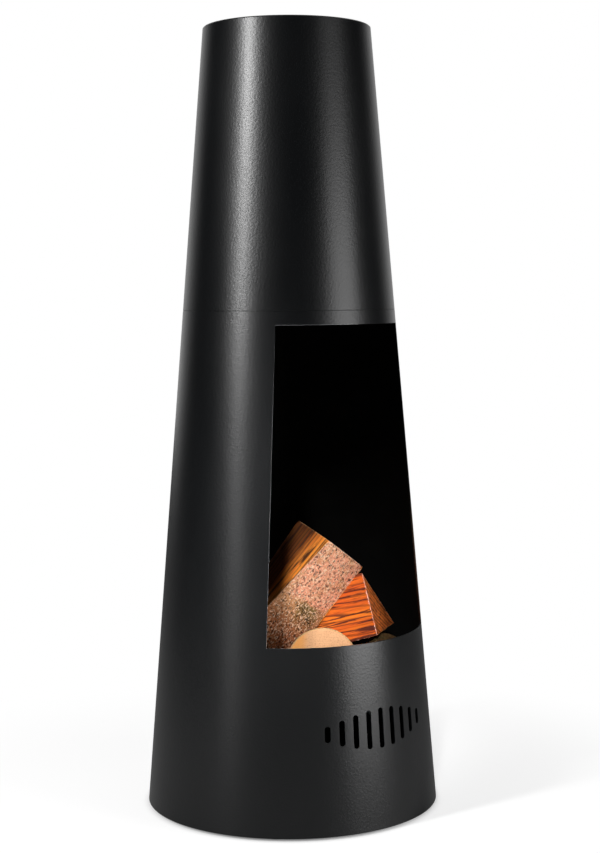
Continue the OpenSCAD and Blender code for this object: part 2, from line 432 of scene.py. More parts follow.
def settle_modifiers(piece: Piece) -> None:
    """Turns a piece with modifiers into a plain mesh."""
    bpy.context.view_layer.update()
    graph = bpy.context.evaluated_depsgraph_get()
    mesh = bpy.data.meshes.new_from_object(piece.evaluated_get(graph), depsgraph=graph)
    piece.modifiers.clear()
    piece.data = mesh
    mesh.name = piece.name


def new_piece(name: str, points: Union[Grid, list], faces: list, *materials: Material) -> Piece:
    """A mesh object at the origin, from points and faces.

    Args:
        name: Its name.
        points: Its points, in metres.
        faces: Indices of each face's points.
        *materials: Its materials.

    Returns:
        The piece.
    """
    mesh = bpy.data.meshes.new(name)
    mesh.from_pydata([tuple(map(float, p)) for p in points], [], faces)
    mesh.update()
    for material in materials:
        mesh.materials.append(material)
    piece = bpy.data.objects.new(name, mesh)
    bpy.context.scene.collection.objects.link(piece)
    return piece


@contextmanager
def editing(piece: Piece) -> Iterator[bmesh.types.BMesh]:
    """Opens a piece's mesh for changes and writes them back."""
    shape = bmesh.new()
    shape.from_mesh(piece.data)
    yield shape
    shape.to_mesh(piece.data)
    shape.free()


def faces_between(low: int, high: int, columns: int) -> list[tuple[int, ...]]:
    """Faces between two rings of points, by the index at which each ring starts.

    Args:
        low: Where the first ring starts.
        high: Where the second starts.
        columns: Points in a ring.

    Returns:
        The faces.
    """
    pairs = [(k, (k + 1) % columns) for k in range(columns)]
    return [(low + k, low + after, high + after, high + k) for k, after in pairs]


def round_edges(piece: Piece, width: float, angle: float) -> None:
    """Adds a bevel to the edges that are sharper than an angle, in degrees.

    Args:
        piece: The piece.
        width: Width of the bevel.
        angle: The angle.
    """
    bevel = piece.modifiers.new("edges", "BEVEL")
    bevel.width = width
    bevel.segments = 2
    bevel.limit_method = "ANGLE"
    bevel.angle_limit = math.radians(angle)


def shade_by_angle(piece: Piece, angle: float = CREASE) -> None:
    """Smooth shading with creases at edges sharper than the angle."""
    piece.data.shade_smooth()
    piece.data.set_sharp_from_angle(angle=math.radians(angle))


def eased_copy(node: str, name: str, width: float, material: Material) -> Piece:
    """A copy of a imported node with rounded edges, and normals laid for its flat faces.

    Args:
        node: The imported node.
        name: The copy's name.
        width: Width of the bevel.
        material: Its material.

    Returns:
        The piece.
    """
    shape = bmesh.new()
    shape.from_mesh(bpy.data.objects[node].data)
    bmesh.ops.remove_doubles(shape, verts=shape.verts, dist=1e-6)
    bmesh.ops.dissolve_limit(shape, angle_limit=math.radians(0.5), verts=shape.verts,
                             edges=shape.edges)
    shape.verts.index_update()
    points = [tuple(v.co) for v in shape.verts]
    faces = [[v.index for v in face.verts] for face in shape.faces]
    shape.free()
    piece = new_piece(name, points, faces, material)
    round_edges(piece, width, CREASE)
    piece.data.shade_smooth()
    piece.modifiers.new("normals", "WEIGHTED_NORMAL").keep_sharp = True
    settle_modifiers(piece)
    return piece


Level = tuple[Union[float, Grid], Union[float, Grid]]


def turned(name: str, levels: list[Level], columns: int, *materials: Material,
           loop: bool = False) -> Piece:
    """A shape on a lathe.

    Args:
        name: The piece's name.
        levels: Radius and height of each ring, each one number or one per column.
            They run up the outside, or anticlockwise round a closed section.
        columns: Points round the axis.
        *materials: Materials.
        loop: True for a closed section, and False for one that starts and ends on the axis.

    Returns:
        The piece.
    """
    angle = np.arange(columns) / columns * TURN
    points: list = []
    for radius, height in levels:
        ring = np.zeros((columns, 3))
        ring[:, 0] = radius * np.cos(angle)
        ring[:, 1] = radius * np.sin(angle)
        ring[:, 2] = height
        points.extend(ring)
    count = len(levels)
    faces: list = []
    for row in range(count if loop else count - 1):
        faces += faces_between(row * columns, (row + 1) % count * columns, columns)
    if not loop:
        faces.append(list(range(columns))[::-1])
        faces.append([(count - 1) * columns + c for c in range(columns)])
    piece = new_piece(name, points, faces, *materials)
    with editing(piece) as shape:
        bmesh.ops.remove_doubles(shape, verts=shape.verts, dist=1e-7)
    return piece


def hexagon(across: float, columns: int) -> Grid:
    """Radius of a hexagon, by column, from its size across the corners.

    Args:
        across: Size across the corners.
        columns: Points round it.

    Returns:
        The radius at each column.
    """
    angle = np.arange(columns) / columns * TURN
    sector = np.mod(angle, TURN / 6) - TURN / 12
    return across / 2 * math.cos(TURN / 12) / np.cos(sector)


def thread_levels(radius: float, cut: Point, low: float, high: float,
                  columns: int) -> list[Level]:
    """Rings of a helical thread between two heights. Cut is its depth and its pitch.

    Args:
        radius: Outside radius.
        cut: Depth and pitch.
        low: Where it starts.
        high: Where it ends.
        columns: Points round the axis.

    Returns:
        The rings.
    """
    depth, pitch = cut
    steps = 5
    rows = int((high - low) / pitch * steps)
    turn = np.arange(columns) / columns
    levels: list[Level] = []
    for row in range(rows + 1):
        height = low + (high - low) * row / rows
        phase = np.mod(height / pitch - turn, 1.0)
        fade = min(1.0, (height - low) / pitch, (high - height) / pitch)
        levels.append((radius - depth * fade * np.abs(2 * phase - 1), height))
    return levels


def wire_along(name: str, path: list[Vector], radius: float, sides: int) -> Piece:
    """A round wire along a path in a plane of constant X, with eased ends.

    Args:
        name: The piece's name.
        path: Points on its axis.
        radius: Its radius.
        sides: Points round it.

    Returns:
        The piece.
    """
    steps = [(path[min(i + 1, len(path) - 1)] - path[max(i - 1, 0)]).normalized()
             for i in range(len(path))]
    ease, tip_share = 0.2 * radius, 0.8
    rings = [(path[0], steps[0], tip_share), (path[0] + steps[0] * ease, steps[0], 1.0)]
    rings += zip(path[1:-1], steps[1:-1], [1.0] * (len(path) - 2))
    rings += [(path[-1] - steps[-1] * ease, steps[-1], 1.0), (path[-1], steps[-1], tip_share)]
    across = Vector((1, 0, 0))
    points: list = []
    for centre, along, share in rings:
        side = along.cross(across).normalized()
        for k in range(sides):
            a = TURN * k / sides
            out = across * math.cos(a) + side * math.sin(a)
            points.append(centre + out * radius * share)
    faces: list = []
    for row in range(len(rings) - 1):
        faces += faces_between(row * sides, (row + 1) * sides, sides)
    faces.append(tuple(range(sides))[::-1])
    faces.append(tuple((len(rings) - 1) * sides + k for k in range(sides)))
    piece = new_piece(name, points, faces)
    with editing(piece) as shape:
        bmesh.ops.recalc_face_normals(shape, faces=shape.faces)
    return piece


# ---------------------------------------------------------------- finishes


@dataclass(frozen=True)
class BlackPaint:
    """Satin heat-resistant black paint on sheet steel, with a fine powdery grain."""

    name: str
    colour: Colour
    cloud_tone: Colour
    roughness: float = 0.32
    powder_noise: Pattern = Pattern(300.0, 2.0, 0.6)
    fleck_noise: Pattern = Pattern(105.0, 1.0)
    cloud_noise: Pattern = Pattern(9.0, 3.0, 0.55, along=0.35)
    sheet_noise: Pattern = Pattern(7.0, 1.0, 0.4, along=0.28)

    def material(self) -> Material:
        """Builds the material."""
        s = Shader(self.name)
        place = s.place()
        powder = s.noise(place, self.powder_noise)
        fleck = s.noise(place, self.fleck_noise)
        cloud = s.noise(place, self.cloud_noise)
        colour = s.mix(cloud.ramp(0.35, 0.75), self.colour, self.cloud_tone)
        rough = self.roughness + (cloud - 0.5) * 0.10
        rolled = s.bump(s.noise(place, self.sheet_noise), 0.9 * MM)
        skin = s.bump(powder + fleck * 0.2, 0.20 * MM, rolled)
        return s.finish(colour, rough, skin, Specular_IOR_Level=0.62)


@dataclass(frozen=True)
class SootAndShade:
    """The dull black inside of the stove: soot, darkened further as painted shade."""

    # Near-black: soot, with painted shade of the deep inside mixed into the colour.
    colour: Colour = tint(6, 5.5, 5)
    ashy: Colour = tint(14, 13, 12)
    cloud_noise: Pattern = Pattern(14.0, 4.0, 0.6)
    crust_noise: Pattern = Pattern(260.0, 3.0, 0.6)

    def material(self) -> Material:
        """Builds the material."""
        s = Shader("soot")
        place = s.place()
        cloud = s.noise(place, self.cloud_noise)
        crust = s.noise(place, self.crust_noise)
        colour = s.mix(cloud.ramp(0.45, 0.8), self.colour, self.ashy)
        return s.finish(colour, 0.86, s.bump(crust, 0.25 * MM), Specular_IOR_Level=0.12)


@dataclass(frozen=True)
class FiredSteel:
    """Hot-rolled steel darkened by fire, with scale, soot and a little rust."""

    dark: Colour = tint(38, 36, 35)
    bare: Colour = tint(84, 80, 77)
    rust: Colour = tint(104, 62, 38)
    cloud_noise: Pattern = Pattern(11.0, 4.0, 0.62)
    scale_noise: Pattern = Pattern(95.0, 4.0, 0.65)
    spot_noise: Pattern = Pattern(38.0, 5.0, 0.7)
    fine_noise: Pattern = Pattern(500.0)

    def material(self) -> Material:
        """Builds the material."""
        s = Shader("fired_steel")
        place = s.place()
        cloud = s.noise(place, self.cloud_noise)
        scale = s.noise(place, self.scale_noise)
        spots = s.noise(place, self.spot_noise).ramp(0.60, 0.72)
        colour = s.mix(cloud.ramp(0.35, 0.72), self.dark, self.bare)
        colour = s.mix(spots * 0.55, colour, self.rust)
        rough = 0.50 + scale * 0.22 + spots * 0.15
        fine = s.bump(s.noise(place, self.fine_noise), 0.05 * MM)
        return s.finish(colour, rough, s.bump(scale, 0.16 * MM, fine), Metallic=0.55)


@dataclass(frozen=True)
class Zinc:
    """Dull zinc plate on fasteners and wire."""

    colour: Colour = tint(176, 179, 184)
    stain: Colour = tint(112, 110, 108)
    cloud_noise: Pattern = Pattern(120.0, 3.0, 0.6)
    fine_noise: Pattern = Pattern(900.0)

    def material(self) -> Material:
        """Builds the material."""
        s = Shader("zinc_plate_finish")
        place = s.place()
        cloud = s.noise(place, self.cloud_noise)
        fine = s.noise(place, self.fine_noise)
        colour = s.mix(cloud.ramp(0.5, 0.8) * 0.7, self.colour, self.stain)
        return s.finish(colour, 0.30 + cloud * 0.16, s.bump(fine, 0.02 * MM), Metallic=1.0)


@dataclass(frozen=True)
class SplitWood:
    """A split face of softwood, with growth rings that show as lines along the log.

    The mesh carries "grain", the point's place from the log's pith with Z along the log,
    and "rim", which is 1 at a cut edge and 0 a few millimetres from it. The heart shade is
    how far from the pith the dark core, darker heartwood with painted shade in it, is full,
    and how far out it ends.
    """

    name: str
    early: Colour
    late: Colour
    stain: Colour
    edge: Colour
    ring: float = 7.5 * MM
    contrast: float = 1.0
    waviness: float = 0.8
    streaks: float = 0.6
    rim_share: float = 0.85
    heart_shade: Point = (0.0, 1 * MM)
    heart_shade_share: float = 0.86
    core: Colour = tint(50, 20, 6)
    drift_noise: Pattern = Pattern(34.0, along=0.13)
    wide_noise: Pattern = Pattern(11.0, 1.0, along=0.13)
    uneven_noise: Pattern = Pattern(1.0, 1.0)
    fibre_noise: Pattern = Pattern(460.0, 3.0, 0.62, along=0.05)
    streak_noise: Pattern = Pattern(130.0, 4.0, 0.68, along=0.07)
    cloud_noise: Pattern = Pattern(38.0, 3.0, 0.6, along=0.13)
    ragged_noise: Pattern = Pattern(230.0, 3.0, 0.75, along=0.5)

    def material(self) -> Material:
        """Builds the material."""
        s = Shader(self.name)
        grain = s.stored("grain")
        z = s.separate(grain)[2]
        drift = s.noise(grain, self.drift_noise) - 0.5
        wide = s.noise(grain, self.wide_noise) - 0.5
        radius = s.from_axis(grain)
        count = radius / self.ring + (drift * 1.5 + wide * 4.0) * self.waviness
        ring = count.fraction()
        late = ring.ramp(0.52, 0.88) * (1.0 - ring.ramp(0.93, 1.0))
        by_ring = s.combine(count * 0.73, 0.0, z * 4.0)
        uneven = s.noise(by_ring, self.uneven_noise).ramp(0.32, 0.62)
        fibre = s.noise(grain, self.fibre_noise)
        streak = s.noise(grain, self.streak_noise)
        cloud = s.noise(grain, self.cloud_noise)
        colour = s.mix(cloud.ramp(0.36, 0.66) * 0.7, self.early, self.stain)
        dark = late * (uneven * 0.75 + 0.2) + streak.ramp(0.51, 0.64) * self.streaks
        colour = s.mix((dark * self.contrast).at_most(0.94), colour, self.late)
        colour = s.mix(fibre.ramp(0.47, 0.72) * 0.38, colour, self.late)
        # Dark core towards the pith: darker heartwood, and painted shade on the log's shaded side.
        heart_shade = (radius + wide * (60 * MM)).ramp(self.heart_shade[1], self.heart_shade[0])
        colour = s.mix(heart_shade * self.heart_shade_share, colour, self.core)
        ragged = s.noise(grain, self.ragged_noise)
        rim = (s.stored("rim", "Fac") + (ragged - 0.5) * 2.6).ramp(0.66, 0.90)
        colour = s.mix(rim * self.rim_share, colour, self.edge)
        height = fibre * 0.5 + streak * 0.8 - late * 0.4
        normal = s.bump(height, 0.9 * MM)
        return s.finish(colour, 0.54 + fibre * 0.16, normal, Specular_IOR_Level=0.35)


@dataclass(frozen=True)
class SawnWood:
    """A sawn end: faint rings, fine saw lines and pores.

    Crescent is how strongly the edge's colour covers the side towards -X.
    """

    name: str
    early: Colour
    late: Colour
    edge: Colour
    ring: float = 3.6 * MM
    contrast: float = 0.07
    crescent: float = 0.0
    drift_noise: Pattern = Pattern(22.0, 3.0)
    cloud_noise: Pattern = Pattern(40.0, 3.0, 0.6)
    pore_noise: Pattern = Pattern(420.0, 3.0, 0.7)
    saw_noise: Pattern = Pattern(330.0, 3.0, 0.6, across=0.10)
    ragged_noise: Pattern = Pattern(200.0, 2.0, 0.6)

    def material(self) -> Material:
        """Builds the material."""
        s = Shader(self.name)
        grain = s.stored("grain")
        x = s.separate(grain)[0]
        drift = s.noise(grain, self.drift_noise) - 0.5
        ring = (s.from_axis(grain) / self.ring + drift * 1.4).fraction()
        late = ring.ramp(0.45, 0.9) * (1.0 - ring.ramp(0.92, 1.0))
        cloud = s.noise(grain, self.cloud_noise)
        pores = s.noise(grain, self.pore_noise)
        saw = s.noise(grain, self.saw_noise)
        dark = late * self.contrast + cloud.ramp(0.45, 0.75) * 0.22
        dark = dark + pores.ramp(0.50, 0.66) * 0.55 + saw.ramp(0.52, 0.8) * 0.18
        colour = s.mix(dark.at_most(1.0), self.early, self.late)
        side = (x * -0.8 + drift * (22 * MM)).ramp(19 * MM, 31 * MM) * self.crescent
        colour = s.mix(side, colour, self.edge)
        ragged = s.noise(grain, self.ragged_noise)
        rim = (s.stored("rim", "Fac") + (ragged - 0.5) * 0.9).ramp(0.80, 1.0)
        colour = s.mix(rim * 0.5, colour, self.edge)
        normal = s.bump(saw * 0.7 + pores * 0.6, 0.30 * MM)
        return s.finish(colour, 0.66, normal, Specular_IOR_Level=0.3)


@dataclass(frozen=True)
class Bark:
    """Granular bark with pale specks, dark pits and a patch of moss.

    Besides "grain" and "rim" the mesh carries "moss" and "brown", from 0 to 1, and "knot"
    where it has one.
    """

    name: str
    rose: Colour
    tan: Colour
    moss: Colour
    brown: Colour
    speck: Colour
    pit: Colour
    specks: float = 1.0
    hollows: float = 0.85
    pits_to_metre: float = 150.0
    cloud_noise: Pattern = Pattern(34.0, 4.0, 0.65)
    grit_noise: Pattern = Pattern(230.0, 3.0, 0.8, along=0.75)
    fine_noise: Pattern = Pattern(340.0, 2.0, 0.8, along=0.75)
    ragged_noise: Pattern = Pattern(260.0, 3.0, 0.7)

    def material(self) -> Material:
        """Builds the material."""
        s = Shader(self.name)
        grain = s.stored("grain")
        brown = s.stored("brown", "Fac")
        cloud = s.noise(grain, self.cloud_noise)
        grit = s.noise(grain, self.grit_noise)
        fine = s.noise(grain, self.fine_noise)
        patch = cloud + (grit - 0.5) * 0.5 + brown * 0.9
        colour = s.mix(patch.ramp(0.45, 0.70), self.rose, self.tan)
        mossy = s.stored("moss", "Fac") * 1.2 + (cloud - 0.5) * 2.0 + (grit - 0.5) * 1.6
        colour = s.mix(mossy.ramp(0.25, 0.75) * 0.8, colour, self.moss)
        rusty = (brown + (cloud - 0.5) + (grit - 0.5) * 1.2).ramp(0.25, 0.85)
        colour = s.mix(rusty * 0.75, colour, self.brown)
        hollow = grit.ramp(0.50, 0.40) * (0.75 + rusty * 0.25)
        colour = s.mix((hollow * self.hollows).at_most(0.9), colour, self.pit)
        light = fine.ramp(0.53, 0.61) * self.specks
        colour = s.mix(light * 0.85, colour, self.speck)
        hole = s.cells(grain, self.pits_to_metre).ramp(0.28, 0.14)
        lot = s.separate(s.cells(grain, self.pits_to_metre, "Color"))[1]
        pits = hole * lot.ramp(0.66, 0.70)
        pits = (pits + s.stored("knot", "Fac") * 1.2).at_most(1.0)
        colour = s.mix(pits * 0.9, colour, self.pit)
        ragged = s.noise(grain, self.ragged_noise)
        rim = (s.stored("rim", "Fac") + (ragged - 0.5) * 1.1).ramp(0.70, 0.9)
        colour = s.mix(rim * 0.55, colour, self.speck)
        height = grit * 0.8 + fine * 0.5 - pits * 0.7
        normal = s.bump(height, 1.5 * MM)
        return s.finish(colour, 0.8, normal, Specular_IOR_Level=0.25)


SATIN_BLACK = BlackPaint("satin_black", tint(6.5, 8, 10), tint(10, 11.5, 13))
# A pale painted highlight for the opening's lit edge, made with the paint's recipe.
EDGE_HIGHLIGHT = BlackPaint("cut_edge", tint(170, 172, 176), tint(240, 241, 243))
# The leaning log's split face; its dark core holds painted shade.
ORANGE_SPLIT = SplitWood("split_orange", tint(255, 160, 60), tint(58, 22, 6),
                         tint(240, 106, 28), tint(250, 206, 148), contrast=0.95, streaks=1.1,
                         heart_shade=(44 * MM, 94 * MM), rim_share=0.35)
RED_SPLIT = SplitWood("split_red", tint(252, 130, 24), tint(76, 18, 4), tint(212, 70, 8),
                      tint(255, 196, 176), ring=8.5 * MM, waviness=1.7, streaks=1.4)
BROWN_END = SplitWood("end_brown", tint(222, 116, 46), tint(58, 24, 8), tint(168, 80, 28),
                      tint(214, 150, 96), ring=8.5 * MM, waviness=0.5, streaks=0.6,
                      contrast=1.15, rim_share=0.4)
TAN_END = SawnWood("sawn_tan", tint(244, 200, 152), tint(206, 142, 88),
                   tint(240, 176, 84))
BILLET_END = SawnWood("sawn_billet", tint(228, 174, 128), tint(184, 120, 76),
                      tint(236, 160, 76), crescent=0.8)
OLIVE_END = SawnWood("sawn_olive", tint(124, 82, 36), tint(76, 46, 20),
                     tint(84, 58, 28))
ROSE_BARK = Bark("bark_rose", tint(240, 164, 130), tint(206, 146, 98), tint(92, 84, 26),
                 tint(172, 98, 58), tint(250, 216, 182), tint(44, 20, 11), hollows=1.1)
OLIVE_BARK = Bark("bark_olive", tint(84, 60, 30), tint(70, 46, 22), tint(60, 52, 22),
                  tint(62, 38, 20), tint(116, 92, 54), tint(28, 18, 10), specks=0.5)
PALE_BARK = Bark("bark_pale", tint(196, 142, 92), tint(170, 116, 70), tint(140, 110, 62),
                 tint(120, 74, 44), tint(222, 180, 132), tint(70, 44, 28), specks=0.5,
                 hollows=0.6)


@dataclass
class Finishes:
    """The materials of the metalwork, built once."""

    black: Material = field(default_factory=SATIN_BLACK.material)
    soot: Material = field(default_factory=SootAndShade().material)
    steel: Material = field(default_factory=FiredSteel().material)
    zinc: Material = field(default_factory=Zinc().material)
    cut_edge: Material = field(default_factory=EDGE_HIGHLIGHT.material)


def report_piece(piece: Piece, body: Body, slot: Slot, *nodes: str) -> None:
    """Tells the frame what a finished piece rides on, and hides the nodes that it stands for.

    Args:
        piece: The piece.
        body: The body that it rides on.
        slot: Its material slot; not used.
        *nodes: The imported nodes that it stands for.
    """
    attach(piece, body.value)
    if nodes:
        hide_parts(*nodes)
    LOG.info("%s: %d faces, on %s", piece.name, len(piece.data.polygons), body.value)


def ease_node(node: str, name: str, width: float, material: Material,
              body: Body, slot: Slot) -> None:
    """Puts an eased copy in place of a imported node."""
    report_piece(eased_copy(node, name, width, material), body, slot, node)


# ---------------------------------------------------------------- the cone


@dataclass
class Cone:
    """The straight cone that the outside of the rolled sheet follows."""

    low_z: float
    low_r: float
    slope: float

    @classmethod
    def from_frame(cls) -> "Cone":
        """Reads the cone off the boxes of the two shell sections."""
        fire_low, fire_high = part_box("firebox_shell")
        flue_low, flue_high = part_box("flue_shell")
        fall = (fire_high.x - flue_high.x) / (flue_low.z - fire_low.z)
        return cls(fire_low.z, fire_high.x, fall)

    def radius(self, height: float) -> float:
        """Outside radius at a height."""
        return self.low_r - (height - self.low_z) * self.slope

    def normal(self, point: Vector, side: float = 1.0) -> Vector:
        """Normal of the cone at a point, outwards for side 1 and inwards for -1."""
        flat = Vector((point.x, point.y, 0)).normalized()
        return (flat + Vector((0, 0, self.slope))).normalized() * side


@dataclass
class Mouth:
    """The fire opening, a shape with straight sides cut from the front."""

    low_z: float = 280 * MM
    high_z: float = 749 * MM
    low_w: float = 305 * MM
    high_w: float = 234 * MM

    def half_width(self, height: float) -> float:
        """Half its width at a height, held past its ends."""
        share = (height - self.low_z) / (self.high_z - self.low_z)
        share = min(1.0, max(0.0, share))
        return (self.low_w + (self.high_w - self.low_w) * share) / 2


@dataclass
class Vent:
    """Nine upright slots whose lengths rise to the middle."""

    count: int = 9
    width: float = 9 * MM
    middle: float = 60 * MM
    end: float = 24 * MM
    pitch: float = math.radians(6)
    height: float = 153 * MM
    reach: float = 300 * MM

    def tree(self) -> GeometryTree:
        """A tree that cuts the slots out of the geometry that it is given."""
        t = GeometryTree("vent_slots", {
            "Count": "int", "Pitch": "float", "Slot width": "float",
            "Middle length": "float", "End length": "float", "Centre height": "float",
            "Reach": "float", "Material": "material"})
        width, middle = t.given("Slot width"), t.given("Middle length")
        count, pitch, level = t.given("Count"), t.given("Pitch"), t.given("Centre height")
        outline = t.node("GeometryNodeCurvePrimitiveQuadrilateral", None,
                         {"Width": width, "Height": middle})
        rounded = t.node("GeometryNodeFilletCurve", {"mode": "POLY"},
                         {"Curve": outline, "Count": 10, "Radius": width * 0.4999,
                          "Limit Radius": True})
        flat = t.node("GeometryNodeFillCurve", {"mode": "NGONS"}, {"Curve": rounded})
        upright = t.node("GeometryNodeTransform", None,
                         {"Geometry": flat, "Translation": t.combine(0.0, 0.0, level),
                          "Rotation": (math.pi / 2, 0.0, 0.0)})
        far = t.node("GeometryNodeExtrudeMesh", {"mode": "FACES"},
                     {"Mesh": upright, "Offset": t.combine(0.0, -t.given("Reach"), 0.0),
                      "Offset Scale": 1.0, "Individual": False})
        near = t.node("GeometryNodeFlipFaces", None, {"Mesh": upright})
        both = t.node("GeometryNodeJoinGeometry", None, {"Geometry": [near, far]})
        cutter = t.node("GeometryNodeMergeByDistance", None,
                        {"Geometry": both, "Distance": 1e-6})
        index = t.node("GeometryNodeInputIndex")
        half = (count - 1.0) / 2.0
        step = index - half
        length = t.given("End length") + (middle - t.given("End length")) * (
            (step / half) * (math.pi / 2)).cosine()
        seeds = t.points((0.0, 0.0, 0.0))
        seeds = t.node("GeometryNodeStoreNamedAttribute",
                       {"data_type": "FLOAT", "domain": "POINT"},
                       {"Geometry": seeds, "Name": "shortfall", "Value": middle - length})
        copies = t.node("GeometryNodeInstanceOnPoints", None,
                        {"Points": seeds, "Instance": cutter,
                         "Rotation": t.combine(0.0, 0.0, step * pitch)})
        solid = t.node("GeometryNodeRealizeInstances", None, {"Geometry": copies})
        position = t.node("GeometryNodeInputPosition")
        z = t.separate(position)[2]
        short = t.node("GeometryNodeInputNamedAttribute", {"data_type": "FLOAT"},
                       {"Name": "shortfall"})
        drop = (z - level).sign() * short * -0.5
        cut_by = t.node("GeometryNodeSetPosition", None,
                        {"Geometry": solid, "Offset": t.combine(0.0, 0.0, drop)})
        holed = t.node("GeometryNodeMeshBoolean",
                       {"operation": "DIFFERENCE", "solver": "EXACT"},
                       {"Mesh 1": t.given("Geometry"), "Mesh 2": cut_by})
        t.close(holed)
        return t

    def cut(self, piece: Piece, material: Material) -> None:
        """Cuts the slots out of a piece."""
        self.tree().run_on(piece, {
            "Count": self.count, "Pitch": self.pitch, "Slot width": self.width,
            "Middle length": self.middle, "End length": self.end,
            "Centre height": self.height, "Reach": self.reach, "Material": material})


@dataclass
class Shell:
    """The rolled cone in two sections, with the weld up its back.

    The highlight's span is how far above the opening's foot the pale painted highlight on
    its -X edge starts, and how far past the opening's top it ends.
    """

    cone: Cone
    finishes: Finishes
    mouth: Mouth = field(default_factory=Mouth)
    vent: Vent = field(default_factory=Vent)
    sheet: float = 2.5 * MM
    eased: float = 0.22 * MM
    brim: float = 1.5 * MM
    front_columns: int = 72
    back_columns: int = 168
    row_step: float = 18 * MM
    bead_radius: float = 1.5 * MM
    bead_proud: float = 0.75 * MM
    bead_start: float = 12 * MM
    ripple_step: float = 1.9 * MM
    crease: float = 40.0
    on_face: float = 0.02 * MM
    highlight_span: Point = (6 * MM, 1 * MM)

    def column_angles(self, height: float, radius: float) -> Grid:
        """Angles of the columns from -Y, with the front ones between the opening's sides.

        Args:
            height: The row's height.
            radius: Its radius.

        Returns:
            The angles.
        """
        side = math.asin(self.mouth.half_width(height) / radius)
        front = np.linspace(-side, side, self.front_columns + 1)
        back = np.linspace(side, TURN - side, self.back_columns + 1)
        return np.concatenate([front, back[1:-1]])

    def skin(self, heights: list[float], inset: float) -> list[Vector]:
        """Points of one face of the sheet, row by row.

        Args:
            heights: Heights of the rows.
            inset: Depth under the outside.

        Returns:
            The points.
        """
        points = []
        for height in heights:
            radius = self.cone.radius(height) - inset
            for angle in self.column_angles(height, radius):
                points.append((radius * math.sin(angle), -radius * math.cos(angle), height))
        return points

    def rows_between(self, *marks: float) -> list[float]:
        """Heights that pass through the marks, about a row step apart.

        Args:
            *marks: Heights, upwards.

        Returns:
            The heights.
        """
        rows = [marks[0]]
        for low, high in zip(marks, marks[1:]):
            count = max(1, round((high - low) / self.row_step))
            rows.extend(low + (high - low) * (i + 1) / count for i in range(count))
        return rows

    def section(self, name: str, heights: list[float], opened: bool,
                brim: float = 0.0) -> Piece:
        """One section of the rolled sheet, with its thickness.

        Args:
            name: The piece's name.
            heights: Heights of the rows.
            opened: Whether the fire opening is left out.
            brim: How far the outer edge of the top row is drawn in.

        Returns:
            The piece, with eased edges.
        """
        columns = self.front_columns + self.back_columns
        outer = self.skin(heights[:-1], 0.0) + self.skin(heights[-1:], brim)
        inner = self.skin(heights, self.sheet)
        offset = len(outer)
        quads = []
        for row in range(len(heights) - 1):
            level = (heights[row] + heights[row + 1]) / 2
            gap = opened and self.mouth.low_z < level < self.mouth.high_z
            for column in range(self.front_columns if gap else 0, columns):
                after = (column + 1) % columns
                low, high = row * columns, (row + 1) * columns
                quads.append((low + column, low + after, high + after, high + column))
        edges = {(q[i], q[(i + 1) % 4]) for q in quads for i in range(4)}
        rims = [(b, a, a + offset, b + offset) for a, b in edges if (b, a) not in edges]
        inside = [tuple(i + offset for i in reversed(q)) for q in quads]
        piece = new_piece(name, outer + inner, quads + inside + sorted(rims))
        with editing(piece) as shape:
            loose = [v for v in shape.verts if not v.link_faces]
            bmesh.ops.delete(shape, geom=loose, context="VERTS")
        round_edges(piece, self.eased, self.crease)
        settle_modifiers(piece)
        return piece

    def dress(self, piece: Piece) -> None:
        """Paints the outside, soot and painted shade inside, and lays normals that follow the
        cone.

        The opening's edge on the -X side, which the studio lights up, gets a pale painted
        highlight.
        """
        mesh = piece.data
        mesh.materials.clear()
        for material in (self.finishes.black, self.finishes.soot, self.finishes.cut_edge):
            mesh.materials.append(material)
        mesh.shade_smooth()
        normals = [Vector((0, 0, 1))] * len(mesh.loops)
        low = self.mouth.low_z + self.highlight_span[0]
        high = self.mouth.high_z + self.highlight_span[1]
        for face in mesh.polygons:
            depths = []
            for index in face.vertices:
                spot = mesh.vertices[index].co
                depths.append(self.cone.radius(spot.z) - math.hypot(spot.x, spot.y))
            outside = max(map(abs, depths)) < self.on_face
            inside = max(abs(d - self.sheet) for d in depths) < self.on_face
            # Faces of the opening's lit -X edge take the pale painted highlight.
            cut = low < face.center.z < high and face.center.x < 0
            face.material_index = 2 if cut and not (outside or inside) else int(inside)
            for loop in face.loop_indices:
                spot = mesh.vertices[mesh.loops[loop].vertex_index].co
                if outside or inside:
                    normals[loop] = self.cone.normal(spot, 1.0 if outside else -1.0)
                else:
                    normals[loop] = face.normal.copy()
        mesh.normals_split_custom_set(normals)

    def weld_tree(self) -> GeometryTree:
        """A tree that lays overlapping ripples of weld along a straight line."""
        t = GeometryTree("weld_ripples", {
            "Count": "int", "Start Y": "float", "Start Z": "float", "Step Y": "float",
            "Step Z": "float", "Bead": "float", "Seed": "int", "Material": "material"})
        index = t.node("GeometryNodeInputIndex")
        place = t.combine(0.0, t.given("Start Y") + index * t.given("Step Y"),
                          t.given("Start Z") + index * t.given("Step Z"))
        points = t.points(place)
        drop = t.node("GeometryNodeMeshUVSphere", None,
                      {"Segments": 12, "Rings": 6, "Radius": t.given("Bead")})
        wide = t.node("FunctionNodeRandomValue", {"data_type": "FLOAT"},
                      {"Min_001": 0.86, "Max_001": 1.08, "Seed": t.given("Seed")},
                      "Value_001")
        laid = t.node("GeometryNodeInstanceOnPoints", None,
                      {"Points": points, "Instance": drop,
                       "Scale": t.combine(wide * 1.25, 0.92, 0.95)})
        smooth = t.node("GeometryNodeSetShadeSmooth", None, {"Geometry": laid})
        t.close(smooth)
        return t

